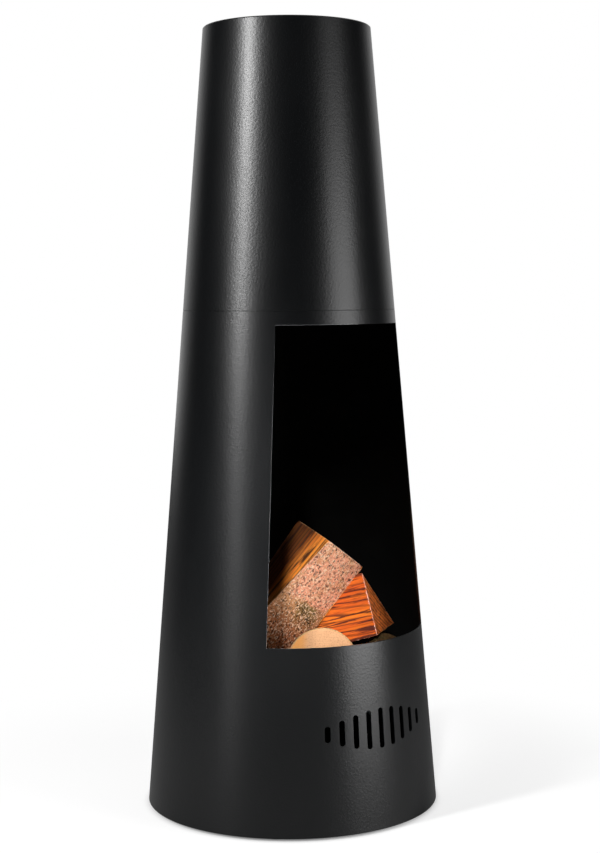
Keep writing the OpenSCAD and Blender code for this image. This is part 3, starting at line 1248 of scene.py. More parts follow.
    def weld(self, name: str, low: float, high: float, seed: int, body: Body) -> None:
        """Lays the weld up the back between two heights.

        Args:
            name: The piece's name.
            low: Its foot.
            high: Its head.
            seed: Seed of its ripples.
            body: The body that it rides on.
        """
        piece = new_piece(name, [(0, 0, 0)], [])
        count = int((high - low - 2 * self.bead_radius) / self.ripple_step)
        start = low + self.bead_radius
        self.weld_tree().run_on(piece, {
            "Count": count, "Bead": self.bead_radius, "Seed": seed,
            "Start Y": self.cone.radius(start) + self.bead_proud - self.bead_radius,
            "Start Z": start, "Step Y": -self.ripple_step * self.cone.slope,
            "Step Z": self.ripple_step, "Material": self.finishes.black})
        report_piece(piece, body, Slot.BLACK)

    def build(self) -> None:
        """Builds both sections."""
        low, high = (corner.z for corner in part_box("firebox_shell"))
        fire = self.section("firebox_skin", self.rows_between(
            low, self.mouth.low_z, self.mouth.high_z, high), True)
        self.vent.cut(fire, self.finishes.black)
        self.dress(fire)
        report_piece(fire, Body.STOVE, Slot.BLACK, "firebox_shell")
        self.weld("firebox_weld", low + self.bead_start, high, 3, Body.STOVE)
        low, high = (corner.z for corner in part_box("flue_shell"))
        rows = self.rows_between(low, high - self.brim, high)
        flue = self.section("flue_skin", rows, False, self.brim)
        self.dress(flue)
        report_piece(flue, Body.FLUE, Slot.BLACK, "flue_shell")
        self.weld("flue_weld", low, high, 5, Body.FLUE)


# ---------------------------------------------------------------- base, pan and grate


@dataclass
class RingOfCopies:
    """Equal pieces round a circle, such as screws."""

    count: int
    radius: float
    start: float = 0.0

    def tree(self) -> GeometryTree:
        """A tree that copies the geometry that it is given round a circle."""
        t = GeometryTree("ring_of_copies", {
            "Count": "int", "Turn": "float", "Start": "float", "Radius": "float",
            "Material": "material"})
        radius = t.given("Radius")
        angle = t.node("GeometryNodeInputIndex") * t.given("Turn") + t.given("Start")
        place = t.combine(angle.cosine() * radius, angle.sine() * radius, 0.0)
        points = t.points(place)
        copies = t.node("GeometryNodeInstanceOnPoints", None,
                        {"Points": points, "Instance": t.given("Geometry"),
                         "Rotation": t.combine(0.0, 0.0, angle)})
        t.close(copies)
        return t

    def spread(self, piece: Piece, material: Material) -> None:
        """Copies a piece, modelled on the axis, round the circle."""
        self.tree().run_on(piece, {
            "Count": self.count, "Turn": TURN / self.count, "Start": self.start,
            "Radius": self.radius, "Material": material})


@dataclass
class Base:
    """Base ring, floor plate, their fasteners and the four levelling feet.

    Each cut is a thread's depth and pitch. The shares are of the thread's diameter.
    """

    finishes: Finishes
    screw_d: float = 6 * MM
    head_share: float = 0.9
    socket_share: float = 0.62
    socket_depth: float = 1.6 * MM
    nut_share: float = 1.9
    stud_d: float = 8 * MM
    screw_count: int = 6
    screw_inset: float = 8 * MM
    foot_count: int = 4
    foot_start: float = math.radians(45)
    columns: int = 48
    pad_columns: int = 96
    eased: float = 0.4 * MM
    screw_cut: Point = (0.45 * MM, 1.0 * MM)
    nut_cut: Point = (0.35 * MM, 1.0 * MM)
    stud_cut: Point = (0.6 * MM, 1.25 * MM)
    knurl: float = 0.35 * MM
    bore_room: float = 0.2 * MM

    def foot_centre(self, number: int) -> Vector:
        """Centre of a foot on the ground."""
        low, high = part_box(f"foot_{number}")
        return Vector(((low.x + high.x) / 2, (low.y + high.y) / 2, 0))

    def screw_ring(self) -> RingOfCopies:
        """The circle that the floor's screws and nuts stand on."""
        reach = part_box("floor_plate")[1].x - self.screw_inset
        return RingOfCopies(self.screw_count, reach)

    def screws(self) -> None:
        """Button-head screws with a hexagon socket and a cut thread."""
        low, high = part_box("floor_screws")
        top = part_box("floor_plate")[1].z
        radius, head = self.screw_d / 2, self.head_share * self.screw_d
        socket = hexagon(self.socket_share * self.screw_d, self.columns)
        floor = high.z - self.socket_depth
        dome = [(head * math.cos(a) * 0.98 + 0.02 * head,
                 top + (high.z - top) * (0.25 + 0.75 * math.sin(a)))
                for a in np.linspace(0.0, math.radians(72), 7)]
        levels: list[Level] = [(0.0, low.z), (radius * 0.8, low.z)]
        levels += thread_levels(radius, self.screw_cut, low.z + 0.3 * MM, top, self.columns)
        levels += [(head * 0.97, top), *dome, (socket * 1.06, high.z),
                   (socket, high.z - 0.15 * MM), (socket, floor), (0.0, floor - 0.6 * MM)]
        piece = turned("floor_screw_set", levels, self.columns)
        shade_by_angle(piece)
        self.screw_ring().spread(piece, self.finishes.zinc)
        report_piece(piece, Body.STOVE, Slot.ZINC, "floor_screws")

    def nut(self, name: str, node: str, thread: float, ring: RingOfCopies) -> None:
        """Hexagon nuts with chamfered corners and a threaded bore, on a ring.

        Args:
            name: The piece's name.
            node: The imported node.
            thread: The thread's diameter.
            ring: Where the nuts stand.
        """
        low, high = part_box(node)
        across = self.nut_share * thread
        hexed = hexagon(across, self.columns)
        bore = thread / 2 + self.bore_room
        mouth = bore + 0.5 * MM
        flat = across / 2 * math.cos(math.pi / 6)
        face = flat * 0.97
        ease = np.maximum(0.0, hexed - flat) * math.tan(math.radians(30))
        bore_levels = thread_levels(bore + self.nut_cut[0], self.nut_cut,
                                    low.z + 0.4 * MM, high.z - 0.4 * MM, self.columns)
        levels: list[Level] = [(mouth, low.z), (face, low.z), (hexed, low.z + ease),
                               (hexed, high.z - ease), (face, high.z), (mouth, high.z)]
        piece = turned(name, levels + bore_levels[::-1], self.columns, loop=True)
        shade_by_angle(piece)
        ring.spread(piece, self.finishes.zinc)
        report_piece(piece, Body.STOVE, Slot.ZINC, node)

    def foot(self, number: int, body: Body) -> None:
        """One foot: a knurled pad with an eased sole on a threaded stud."""
        node = f"foot_{number}"
        low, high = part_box(node)
        centre = self.foot_centre(number)
        pad = (high.x - low.x) / 2
        columns = self.pad_columns
        gripped = pad - self.knurl * np.abs(np.mod(np.arange(columns) / 2, 2) - 1)
        stud = self.stud_d / 2
        sole = [(0.0, 0.0), (pad - 2.0 * MM, 0.0), (pad - 1.5 * MM, 0.15 * MM)]
        side = [(pad - 0.4 * MM, 1.2 * MM), (gripped, 1.7 * MM), (gripped, 6.2 * MM)]
        top = [(pad - 0.5 * MM, 6.8 * MM), (pad - 1.0 * MM, 7.0 * MM),
               (stud + 0.6 * MM, 7.0 * MM), (stud, 7.5 * MM)]
        levels: list[Level] = [*sole, *side, *top]
        levels += thread_levels(stud, self.stud_cut, 7.8 * MM, high.z - 0.8 * MM, columns)
        levels += [(stud - 0.8 * MM, high.z), (0.0, high.z)]
        piece = turned(f"levelling_foot_{number}", levels, columns, self.finishes.zinc)
        piece.data.transform(Matrix.Translation(centre))
        shade_by_angle(piece)
        report_piece(piece, body, Slot.ZINC, node)

    def build(self) -> None:
        """Builds every piece of the base."""
        black, steel = self.finishes.black, self.finishes.steel
        ease_node("base_ring", "base_stiffener", self.eased, black, Body.STOVE, Slot.BLACK)
        ease_node("floor_plate", "floor_disc", self.eased, steel, Body.STOVE, Slot.STEEL)
        self.screws()
        self.nut("floor_nut_set", "floor_nuts", self.screw_d, self.screw_ring())
        reach = self.foot_centre(1).length
        self.nut("foot_nut_set", "foot_nuts", self.stud_d,
                 RingOfCopies(self.foot_count, reach, self.foot_start))
        feet = (Body.FOOT_1, Body.FOOT_2, Body.FOOT_3, Body.FOOT_4)
        for number, body in enumerate(feet, start=1):
            self.foot(number, body)


@dataclass
class Innards:
    """Joint collar, grate, its brackets, and the ash pan with its handles."""

    finishes: Finishes
    pan_sheet: float = 1.5 * MM
    pan_flare: float = 14 * MM
    pan_corner: float = 4 * MM
    wire: float = 5 * MM
    wire_sides: int = 16
    bend: float = 24 * MM
    leg: float = 14 * MM
    columns: int = 160
    eased: float = 0.4 * MM
    bracket_eased: float = 0.5 * MM
    grate_eased: float = 0.6 * MM

    @staticmethod
    def arc(x: float, z: float, radius: float, angles: Grid) -> list[Point]:
        """Points on an arc that starts below its centre and turns outwards."""
        return [(x + radius * math.sin(a), z - radius * math.cos(a)) for a in angles]

    def pan(self) -> None:
        """The ash pan: a spun dish with rounded corners and a rolled rim."""
        low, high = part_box("ash_pan")
        rim_z = high.z - self.wire / 2
        mouth = high.x - self.wire + self.pan_sheet
        foot = mouth - self.pan_flare
        lean = math.atan2(self.pan_flare, rim_z - low.z)
        bend = self.pan_corner
        angles = np.linspace(0, math.pi / 2 - lean, 6)
        corner = self.arc(foot - bend, low.z + bend, bend, angles)
        hollow = self.arc(foot - bend, low.z + bend, bend - self.pan_sheet, angles[::-1])
        axis = mouth + self.wire / 2 - self.pan_sheet
        roll = [(axis + self.wire / 2 * math.cos(a), rim_z + self.wire / 2 * math.sin(a))
                for a in np.linspace(-0.75 * math.pi, math.pi, 20)]
        levels: list[Level] = [(0.0, low.z), (foot * 0.6, low.z), *corner, *roll,
                               *hollow, (foot * 0.6, low.z + self.pan_sheet),
                               (0.0, low.z + self.pan_sheet)]
        piece = turned("ash_dish", levels, self.columns, self.finishes.steel)
        shade_by_angle(piece, 30)
        report_piece(piece, Body.PAN, Slot.STEEL, "ash_pan")

    def handles(self) -> None:
        """Two bent wires."""
        low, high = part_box("pan_handles")
        centre = high.x - self.wire / 2
        path = [(-self.bend, low.z), (-self.bend, low.z + self.leg / 2)]
        path += [(-self.bend * math.cos(a), low.z + self.leg + self.bend * math.sin(a))
                 for a in np.linspace(0, math.pi, 25)]
        path += [(self.bend, low.z + self.leg / 2), (self.bend, low.z)]
        piece = wire_along("handle_set", [Vector((centre, y, z)) for y, z in path],
                           self.wire / 2, self.wire_sides)
        shade_by_angle(piece)
        RingOfCopies(2, 0.0).spread(piece, self.finishes.zinc)
        report_piece(piece, Body.PAN, Slot.ZINC, "pan_handles")

    def build(self) -> None:
        """Builds every inner piece."""
        black, steel = self.finishes.black, self.finishes.steel
        ease_node("joint_collar", "collar_band", self.eased, steel, Body.STOVE, Slot.STEEL)
        ease_node("grate_brackets", "grate_rests", self.bracket_eased, black,
                  Body.STOVE, Slot.BLACK)
        ease_node("fire_grate", "slotted_grate", self.grate_eased, steel,
                  Body.GRATE, Slot.STEEL)
        self.pan()
        self.handles()


# ---------------------------------------------------------------- firewood


class Face(Enum):
    """What a side of a log is."""

    SPLIT = 0
    BARK = 1
    SAWN = 2


@dataclass
class Side:
    """One side of a log's outline: its points at the foot and at the head."""

    face: Face
    foot: list[Point]
    head: list[Point]


def along_line(points: list[Point], count: int) -> Grid:
    """Evenly spaced points on a broken line, without its last point.

    Args:
        points: The line's points.
        count: How many are wanted.

    Returns:
        The points, one to a row.
    """
    line = np.array(points, float)
    reach = np.concatenate([[0], np.cumsum(np.linalg.norm(np.diff(line, axis=0), axis=1))])
    marks = np.linspace(0, reach[-1], count, endpoint=False)
    return np.stack([np.interp(marks, reach, line[:, k]) for k in (0, 1)], axis=1)


def ripple(x: float, y: float, z: float, seed: float, octaves: int = 3) -> float:
    """Fractal noise about 0, where the coordinates are in feature sizes."""
    return noise.fractal(Vector((x + seed, y - seed, z + 0.37 * seed)), 0.9, 2.1, octaves)


@dataclass(frozen=True)
class Relief:
    """A layer of noise on a log: its depth, its features to the metre and its seed."""

    depth: float
    across: float
    along: float
    seed: int

    def at(self, x: float, y: float, z: float, seed: float) -> float:
        """How far the layer lies under its middle at a place."""
        return self.depth * ripple(x * self.across, y * self.across, z * self.along,
                                   seed + self.seed)


FIBRES = (1.1, Relief(0.8, 150, 9, 0), Relief(0.75, 42, 3.5, 7))
LUMPS = (1.0, Relief(0.8, 45, 34, 3), Relief(0.7, 260, 240, 5))


@dataclass
class Firewood:
    """A piece of firewood, lofted between two outlines and worn by noise.

    The log's own frame has its axis on Z, with the foot at 0. Rough is the depth of the
    wear on each kind of side, in millimetres. Head slant is the slope at which the upper
    end is cut along Y, and corner ease how much rounder the ends are at the corners.
    """

    name: str
    node: str
    slot: Slot
    place: Matrix
    length: float
    sides: list[Side]
    pith: Point
    finishes: dict[Face, Material]
    seed: float
    step: float = 1.25 * MM
    rough: dict[Face, float] = field(default_factory=dict)
    head_slant: float = 0.0
    rounding: int = 3
    end_ease: float = 0.9 * MM
    end_steps: tuple[float, ...] = (0.0, 0.13, 0.5)
    corner_ease: float = 0.0
    corner_reach: float = 6 * MM
    rim_width: float = 3.2 * MM
    cap_rings: int = 22
    saw_depth: float = 0.22 * MM
    saw_marks: Point = (30.0, 330.0)
    saw_middle: float = 0.12 * MM
    crease: float = 50.0
    stains: dict[str, Callable[[Vector], float]] = field(default_factory=dict)

    def outlines(self) -> tuple[Grid, Grid, list[Face], Grid]:
        """Foot and head outlines, each point's side, and its distance from a corner."""
        feet, heads, kinds, edges = [], [], [], []
        for side in self.sides:
            size = np.linalg.norm(np.diff(np.array(side.head), axis=0), axis=1).sum()
            count = max(3, round(size / self.step))
            feet.append(along_line(side.foot, count))
            heads.append(along_line(side.head, count))
            kinds += [side.face] * count
            marks = np.arange(count) / count * size
            edges.append(np.minimum(marks, size - marks))
        foot, head = np.concatenate(feet), np.concatenate(heads)
        for _ in range(self.rounding):
            foot = 0.5 * foot + 0.25 * (np.roll(foot, 1, 0) + np.roll(foot, -1, 0))
            head = 0.5 * head + 0.25 * (np.roll(head, 1, 0) + np.roll(head, -1, 0))
        return foot, head, kinds, np.concatenate(edges)

    def wear(self, kind: Face, x: float, y: float, z: float) -> float:
        """How far the surface lies under its outline, in metres.

        Args:
            kind: What the side is.
            x: The place.
            y: The place.
            z: The place.

        Returns:
            The depth.
        """
        middle, coarse, fine = FIBRES if kind is Face.SPLIT else LUMPS
        relief = middle + coarse.at(x, y, z, self.seed) + fine.at(x, y, z, self.seed)
        return self.rough[kind] * MM * relief

    def rim(self, reach: float) -> float:
        """1 at a cut edge, falling to 0 across the rim."""
        return max(0.0, 1 - reach / self.rim_width)

    def side_points(self) -> tuple[list, list, list, list[Face], int]:
        """Worn points of the sides, row by row, their unworn places and rim values."""
        foot, head, kinds, edges = self.outlines()
        columns = len(foot)
        ease = self.end_ease
        count = max(2, round(self.length / self.step))
        inner = [ease + (self.length - 2 * ease) * i / count for i in range(count + 1)]
        tips = [share * ease for share in self.end_steps]
        rows = tips + inner + [self.length - tip for tip in reversed(tips)]
        points, places, rims = [], [], []
        for z in rows:
            share = z / self.length
            ring = foot * (1 - share) + head * share
            tangent = np.roll(ring, -1, 0) - np.roll(ring, 1, 0)
            tangent /= np.linalg.norm(tangent, axis=1)[:, None]
            inward = np.stack([-tangent[:, 1], tangent[:, 0]], axis=1)
            if self.turns_right:
                inward = -inward
            end = min(z, self.length - z)
            for k in range(columns):
                x, y = ring[k]
                near_corner = math.exp(-(edges[k] / self.corner_reach) ** 2)
                curve = ease + self.corner_ease * near_corner
                inset = curve - math.sqrt(max(0.0, curve**2 - max(0.0, curve - end) ** 2))
                deep = self.wear(kinds[k], x, y, z) + inset
                top = z * (1 - y * self.head_slant / self.length)
                points.append((x + inward[k, 0] * deep, y + inward[k, 1] * deep, top))
                places.append((x, y, top))
                rims.append(self.rim(min(edges[k], end)))
        return points, places, rims, kinds, len(rows)

    @property
    def turns_right(self) -> bool:
        """Whether the outline runs clockwise, seen against the axis."""
        head = np.array([p for side in self.sides for p in side.head[:-1]])
        after = np.roll(head, -1, 0)
        return float((head[:, 0] * after[:, 1] - head[:, 1] * after[:, 0]).sum()) < 0

    def build(self) -> None:
        """Builds the log and hands it to the frame."""
        points, places, rims, kinds, rows = self.side_points()
        columns = len(kinds)
        order = list(self.finishes)
        faces: list = []
        for row in range(rows - 1):
            faces += faces_between(row * columns, (row + 1) * columns, columns)
        looks = [order.index(kind) for kind in kinds] * (rows - 1)
        for start, is_head in ((0, False), ((rows - 1) * columns, True)):
            self.cap(points, places, rims, faces, start, columns, is_head)
        looks += [order.index(Face.SAWN)] * (len(faces) - len(looks))
        if self.turns_right:
            faces = [f[::-1] for f in faces]
        piece = new_piece(self.name, points, faces, *self.finishes.values())
        piece.data.polygons.foreach_set("material_index", looks)
        self.store(piece, places, rims)
        piece.data.transform(self.place)
        shade_by_angle(piece, self.crease)
        low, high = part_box(self.node)
        spots = np.array([tuple(v.co) for v in piece.data.vertices])
        LOG.info("%s lies %s under and %s over its solid's box", self.name,
                 np.round((spots.min(0) - low) / MM, 1), np.round((spots.max(0) - high) / MM, 1))
        report_piece(piece, Body.GRATE, self.slot, self.node)

    def cap(self, points: list, places: list, rims: list, faces: list, start: int,
            columns: int, is_head: bool) -> None:
        """Closes one end with rings of faces that draw in to a middle point.

        Args:
            points: The log's points, which grow.
            places: Their unworn places, which grow.
            rims: Their rim values, which grow.
            faces: Its faces, which grow.
            start: Where the end's outer ring starts.
            columns: Points in a ring.
            is_head: Whether it is the upper end.
        """
        ring = np.array(points[start:start + columns])
        flat = np.array(places[start:start + columns])
        centre, middle = ring.mean(axis=0), flat.mean(axis=0)
        added: list = []
        last = start
        for step in range(1, self.cap_rings):
            share = 1 - step / self.cap_rings
            base = len(points)
            for k in range(columns):
                spot = centre + (ring[k] - centre) * share
                saw = self.saw_depth * ripple(spot[0] * self.saw_marks[0],
                                              spot[1] * self.saw_marks[1], 0.0,
                                              self.seed + 11, 2)
                spot[2] += (saw - self.saw_middle) * (1 if is_head else -1)
                points.append(tuple(spot))
                places.append(tuple(middle + (flat[k] - middle) * share))
                rims.append(self.rim(float(np.linalg.norm(ring[k] - centre)) * (1 - share)))
            added += faces_between(last, base, columns)
            last = base
        tip = len(points)
        points.append(tuple(centre))
        places.append(tuple(middle))
        rims.append(0.0)
        added += [(last + k, last + (k + 1) % columns, tip) for k in range(columns)]
        faces += added if is_head else [face[::-1] for face in added]

    def store(self, piece: Piece, places: list, rims: list) -> None:
        """Writes the attributes that the wood's materials read."""
        mesh = piece.data
        spots = np.array(places) - np.array([*self.pith, 0.0])
        grain = mesh.attributes.new("grain", "FLOAT_VECTOR", "POINT")
        grain.data.foreach_set("vector", spots.astype(np.float32).ravel())
        rim = mesh.attributes.new("rim", "FLOAT", "POINT")
        rim.data.foreach_set("value", np.array(rims, np.float32))
        for name, strength in self.stains.items():
            values = [strength(Vector(p)) for p in places]
            stain = mesh.attributes.new(name, "FLOAT", "POINT")
            stain.data.foreach_set("value", np.array(values, np.float32))


def turned_about(x: float = 0.0, y: float = 0.0, z: float = 0.0) -> Matrix:
    """A turn about X, then Y, then Z, in degrees."""
    return Euler((math.radians(x), math.radians(y), math.radians(z))).to_matrix().to_4x4()


def polar(length: float, degrees: float) -> Point:
    """A point by its distance and direction."""
    return (length * math.cos(math.radians(degrees)), length * math.sin(math.radians(degrees)))


def bowed(start: Point, end: Point, bulge: float, count: int = 12) -> list[Point]:
    """A line that stands proud of the straight one by a bulge at its middle.

    Args:
        start: Its first end.
        end: Its other end.
        bulge: The bulge.
        count: Into how many steps it is cut.

    Returns:
        The points.
    """
    p, q = Vector(start), Vector(end)
    out = Vector((q.y - p.y, p.x - q.x)).normalized()
    marks = [i / count for i in range(count + 1)]
    return [tuple(p.lerp(q, t) + out * (4 * bulge * t * (1 - t))) for t in marks]


@dataclass
class WoodPile:
    """The four logs on the grate, placed in the pile's own frame.

    Lengths are in metres, and turns, slopes and directions in degrees. Moss and knot spots
    are places on the leaning log, across it and then along it.
    """

    turn: float = -38.0
    rest_gap: float = 0.3 * MM
    pile_edge: float = 203 * MM

    lean_length: float = 218 * MM
    lean_corner: Point = (-70 * MM, -51 * MM)
    lean_slope: float = 53.5
    lean_tip: float = 10.0
    lean_split: float = 86 * MM
    lean_bark: float = 95 * MM
    lean_directions: Point = (134.5, 42.4)
    lean_bulge: float = 6 * MM
    lean_skew: float = 28 * MM
    lean_corner_ease: float = 6 * MM
    foot_share: float = 0.9
    moss_spot: Point = (37 * MM, 98 * MM)
    moss_reach: Point = (16 * MM, 24 * MM)
    brown_from: float = 126 * MM
    brown_fade: float = 74 * MM
    knot_spot: Point = (55 * MM, 188 * MM)
    knot_radius: float = 2.2 * MM

    cross_length: float = 245 * MM
    cross_width: float = 106 * MM
    cross_height: float = 99 * MM
    cross_crest: float = 0.45
    cross_corner: Point = (-89 * MM, 44 * MM)
    cross_yaw: float = 18.4
    cross_cut: float = 6.0
    cross_pith: Point = (260 * MM, 226 * MM)

    billet_front: Point = (46 * MM, -152 * MM)
    billet_size: tuple[float, float, float] = (109 * MM, 86 * MM, 112 * MM)
    branch_front: Point = (146 * MM, -84 * MM)
    branch_size: tuple[float, float, float] = (68 * MM, 68 * MM, 94 * MM)
    round_sides: int = 48
    round_pith: Point = (2 * MM, 3 * MM)
    round_ease: float = 2.2 * MM

    def ground(self) -> Matrix:
        """The pile's own frame: X to the right and Y to the back as it is looked at."""
        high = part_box("fire_grate")[1]
        lift = Matrix.Translation((0, 0, high.z + self.rest_gap))
        shift = Matrix.Translation((high.x - self.pile_edge, 0, 0))
        return lift @ turned_about(z=self.turn) @ shift

    def lean_outline(self, share: float, skew: float) -> tuple[Point, Point, Point]:
        """Split corner, front edge and back corner of the leaning log."""
        split = polar(share * self.lean_split, self.lean_directions[0])
        back = polar(share * self.lean_bark, self.lean_directions[1])
        return split, (-skew, 0.0), back

    def leaning(self) -> Firewood:
        """The log that leans to the left jamb, bark towards the viewer."""
        foot = self.lean_outline(self.foot_share, self.lean_skew)
        head = self.lean_outline(1.0, 0.0)
        slope, tip = math.radians(self.lean_slope), math.radians(self.lean_tip)
        bark_foot = bowed(foot[1], foot[2], self.lean_bulge)
        rise = max(x * math.cos(slope) * math.cos(tip) + y * math.sin(tip)
                   for x, y in [foot[0], *bark_foot])
        place = (self.ground()
                 @ Matrix.Translation((*self.lean_corner, rise))
                 @ turned_about(x=-self.lean_tip)
                 @ turned_about(y=90 - self.lean_slope))
        sides = [
            Side(Face.SPLIT, [foot[0], foot[1]], [head[0], head[1]]),
            Side(Face.BARK, bark_foot, bowed(head[1], head[2], self.lean_bulge)),
            Side(Face.SPLIT, [foot[2], foot[0]], [head[2], head[0]]),
        ]
        looks = {Face.SPLIT: ORANGE_SPLIT.material(), Face.BARK: ROSE_BARK.material(),
                 Face.SAWN: TAN_END.material()}

        def moss(spot: Vector) -> float:
            """A green patch low on the bark."""
            return math.exp(-((spot.z - self.moss_spot[1]) / self.moss_reach[1]) ** 2
                            - ((spot.y - self.moss_spot[0]) / self.moss_reach[0]) ** 2)

        def brown(spot: Vector) -> float:
            """Reddish brown towards the foot."""
            return max(0.0, min(1.0, (self.brown_from - spot.z) / self.brown_fade))

        def knot(spot: Vector) -> float:
            """A small knot near the upper end."""
            reach = math.hypot(spot.z - self.knot_spot[1], spot.y - self.knot_spot[0])
            return math.exp(-((reach / self.knot_radius) ** 4))

        return Firewood("log_leaning_wood", "log_leaning", Slot.BARK, place,
                        self.lean_length, sides, (head[0][0] - 6 * MM, head[0][1] + 4 * MM),
                        looks, 3.1, rough={Face.SPLIT: 0.8, Face.BARK: 0.9},
                        corner_ease=self.lean_corner_ease,
                        stains={"moss": moss, "brown": brown, "knot": knot})

    def across(self) -> Firewood:
        """The log that lies across behind it, its low end on the grate."""
        reach = self.branch_size[0] / 2 + self.rest_gap
        yaw = math.radians(self.cross_yaw)
        run = ((self.branch_front[0] - self.cross_corner[0]) * math.cos(yaw)
               - (self.branch_front[1] + self.branch_size[2] - self.cross_corner[1])
               * math.sin(yaw))
        tilt = math.degrees(2 * math.atan(reach / run))
        place = (self.ground()
                 @ Matrix.Translation((*self.cross_corner, 0))
                 @ turned_about(y=-tilt, z=-self.cross_yaw)
                 @ turned_about(x=90, z=90))
        crest = (self.cross_crest * self.cross_width, self.cross_height)
        corner = (self.cross_width, 0.0)
        sides = [Side(face, [p, q], [p, q]) for face, p, q in (
            (Face.SPLIT, crest, (0.0, 0.0)), (Face.BARK, (0.0, 0.0), corner),
            (Face.SPLIT, corner, crest))]
        looks = {Face.SPLIT: RED_SPLIT.material(), Face.BARK: OLIVE_BARK.material(),
                 Face.SAWN: BROWN_END.material()}
        return Firewood("log_across_wood", "log_across", Slot.SPLIT, place,
                        self.cross_length, sides, self.cross_pith, looks, 8.4,
                        rough={Face.SPLIT: 1.1, Face.BARK: 0.8},
                        head_slant=math.tan(math.radians(self.cross_cut)),
                        stains={"moss": lambda _: 0.0, "brown": lambda _: 0.3})

    def round_log(self, name: str, node: str, front: Point,
                  size: tuple[float, float, float], seed: float,
                  end: SawnWood, bark: Bark) -> Firewood:
        """A round log that lies along the pile's Y.

        Args:
            name: The piece's name.
            node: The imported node.
            front: Middle of its front end on the grate.
            size: Front diameter, back diameter and length.
            seed: Seed of its wear.
            end: The ends' finish.
            bark: The bark's finish.

        Returns:
            The log.
        """
        wide, narrow, length = size
        drop = math.atan((wide - narrow) / 2 / length)
        place = (self.ground()
                 @ Matrix.Translation((*front, wide / 2 * math.cos(drop)))
                 @ turned_about(x=-90 - math.degrees(drop)))
        marks = [360 * i / self.round_sides for i in range(self.round_sides + 1)]
        side = Side(Face.BARK, [polar(wide / 2, a) for a in marks],
                    [polar(narrow / 2, a) for a in marks])
        looks = {Face.BARK: bark.material(), Face.SAWN: end.material()}
        return Firewood(name, node, Slot.PALE, place, length, [side],
                        self.round_pith, looks, seed, rough={Face.BARK: 0.5},
                        end_ease=self.round_ease,
                        stains={"moss": lambda _: 0.3, "brown": lambda _: 0.0})

    def build(self) -> None:
        """Builds the four logs."""
        self.leaning().build()
        self.across().build()
        self.round_log("log_billet_wood", "log_billet", self.billet_front,
                       self.billet_size, 14.7, BILLET_END, PALE_BARK).build()
        self.round_log("log_branch_wood", "log_branch", self.branch_front,
                       self.branch_size, 21.3, OLIVE_END, OLIVE_BARK).build()


# ---------------------------------------------------------------- studio


@dataclass(frozen=True)
class PhotoCamera:
    """The camera that was fitted to the cone's outline in the photograph."""

    bearing: float = -38.0
    distance: float = 2.6224
    height: float = 0.7973
    pitch: float = 4.565
    yaw: float = 0.350
    roll: float = 0.425
    lens: float = 71.15
    sensor: float = 36.0

    def ground_axes(self) -> tuple[Vector, Vector]:
        """Level axes to the right and away, as the camera looks."""
        a = math.radians(self.bearing)
        return Vector((math.cos(a), math.sin(a), 0)), Vector((-math.sin(a), math.cos(a), 0))

    def spot_round(self, bearing: float, distance: float, height: float) -> Vector:
        """A place round the stove, by its bearing in degrees to the right of the camera.

        Args:
            bearing: The bearing.
            distance: Distance from the axis.
            height: Height over the ground.

        Returns:
            The place.
        """
        right, away = self.ground_axes()
        a = math.radians(bearing)
        flat = right * math.sin(a) - away * math.cos(a)
        return flat * distance + Vector((0, 0, height))

    def build(self) -> None:
        """Makes the scene's camera."""
        right, away = self.ground_axes()
        pitch, yaw, roll = (math.radians(v) for v in (self.pitch, self.yaw, self.roll))
        up = Vector((0, 0, 1))
        heading = right * math.sin(yaw) + away * math.cos(yaw)
        level = right * math.cos(yaw) - away * math.sin(yaw)
        ahead = heading * math.cos(pitch) - up * math.sin(pitch)
        top = heading * math.sin(pitch) + up * math.cos(pitch)
        image_right = level * math.cos(roll) - top * math.sin(roll)
        image_up = level * math.sin(roll) + top * math.cos(roll)
        data = bpy.data.cameras.new("photo_camera")
        data.lens = self.lens
        data.sensor_width = self.sensor
        camera = bpy.data.objects.new("photo_camera", data)
        axes = Matrix((image_right, image_up, -ahead)).transposed().to_4x4()
        camera.matrix_world = Matrix.Translation(
            away * -self.distance + up * self.height) @ axes
        bpy.context.scene.collection.objects.link(camera)
        bpy.context.scene.camera = camera


def hang_light(data: bpy.types.Light, spot: Vector, aim: Vector) -> None:
    """Makes a light at a spot, pointing at the aim and out of the camera's sight.

    Args:
        data: The light's data.
        spot: Where it hangs.
        aim: What it points at.
    """
    light = bpy.data.objects.new(data.name, data)
    turn = (spot - aim).to_track_quat("Z", "Y").to_matrix().to_4x4()
    light.matrix_world = Matrix.Translation(spot) @ turn
    light.visible_camera = False
    bpy.context.scene.collection.objects.link(light)


@dataclass(frozen=True)
class Softbox:
    """A rectangular studio light that faces the stove's axis at the height of its aim."""

    name: str
    bearing: float
    distance: float
    height: float
    width: float
    tall: float
    radiance: float
    aim: float = 0.6

    def build(self, camera: PhotoCamera) -> None:
        """Makes the light."""
        data = bpy.data.lights.new(self.name, "AREA")
        data.shape = "RECTANGLE"
        data.size = self.width
        data.size_y = self.tall
        data.energy = self.radiance * math.pi * self.width * self.tall
        spot = camera.spot_round(self.bearing, self.distance, self.height)
        hang_light(data, spot, Vector((0, 0, self.aim)))


@dataclass(frozen=True)
class Snoot:
    """A narrow spotlight aimed through the fire opening at the wood."""

    bearing: float = -8.0
    distance: float = 2.1
    height: float = 1.95
    aim: tuple[float, float, float] = (-0.02, -0.06, 0.33)
    spread: float = 8.0
    softness: float = 0.9
    size: float = 0.18
    level: float = 1.9

    def build(self, camera: PhotoCamera) -> None:
        """Makes the light. Level is how bright a white surface looks that faces it."""
        spot = camera.spot_round(self.bearing, self.distance, self.height)
        aim = Vector(self.aim)
        data = bpy.data.lights.new("wood_snoot", "SPOT")
        data.spot_size = math.radians(self.spread)
        data.spot_blend = self.softness
        data.shadow_soft_size = self.size
        data.energy = self.level * 4 * math.pi**2 * (spot - aim).length_squared
        hang_light(data, spot, aim)


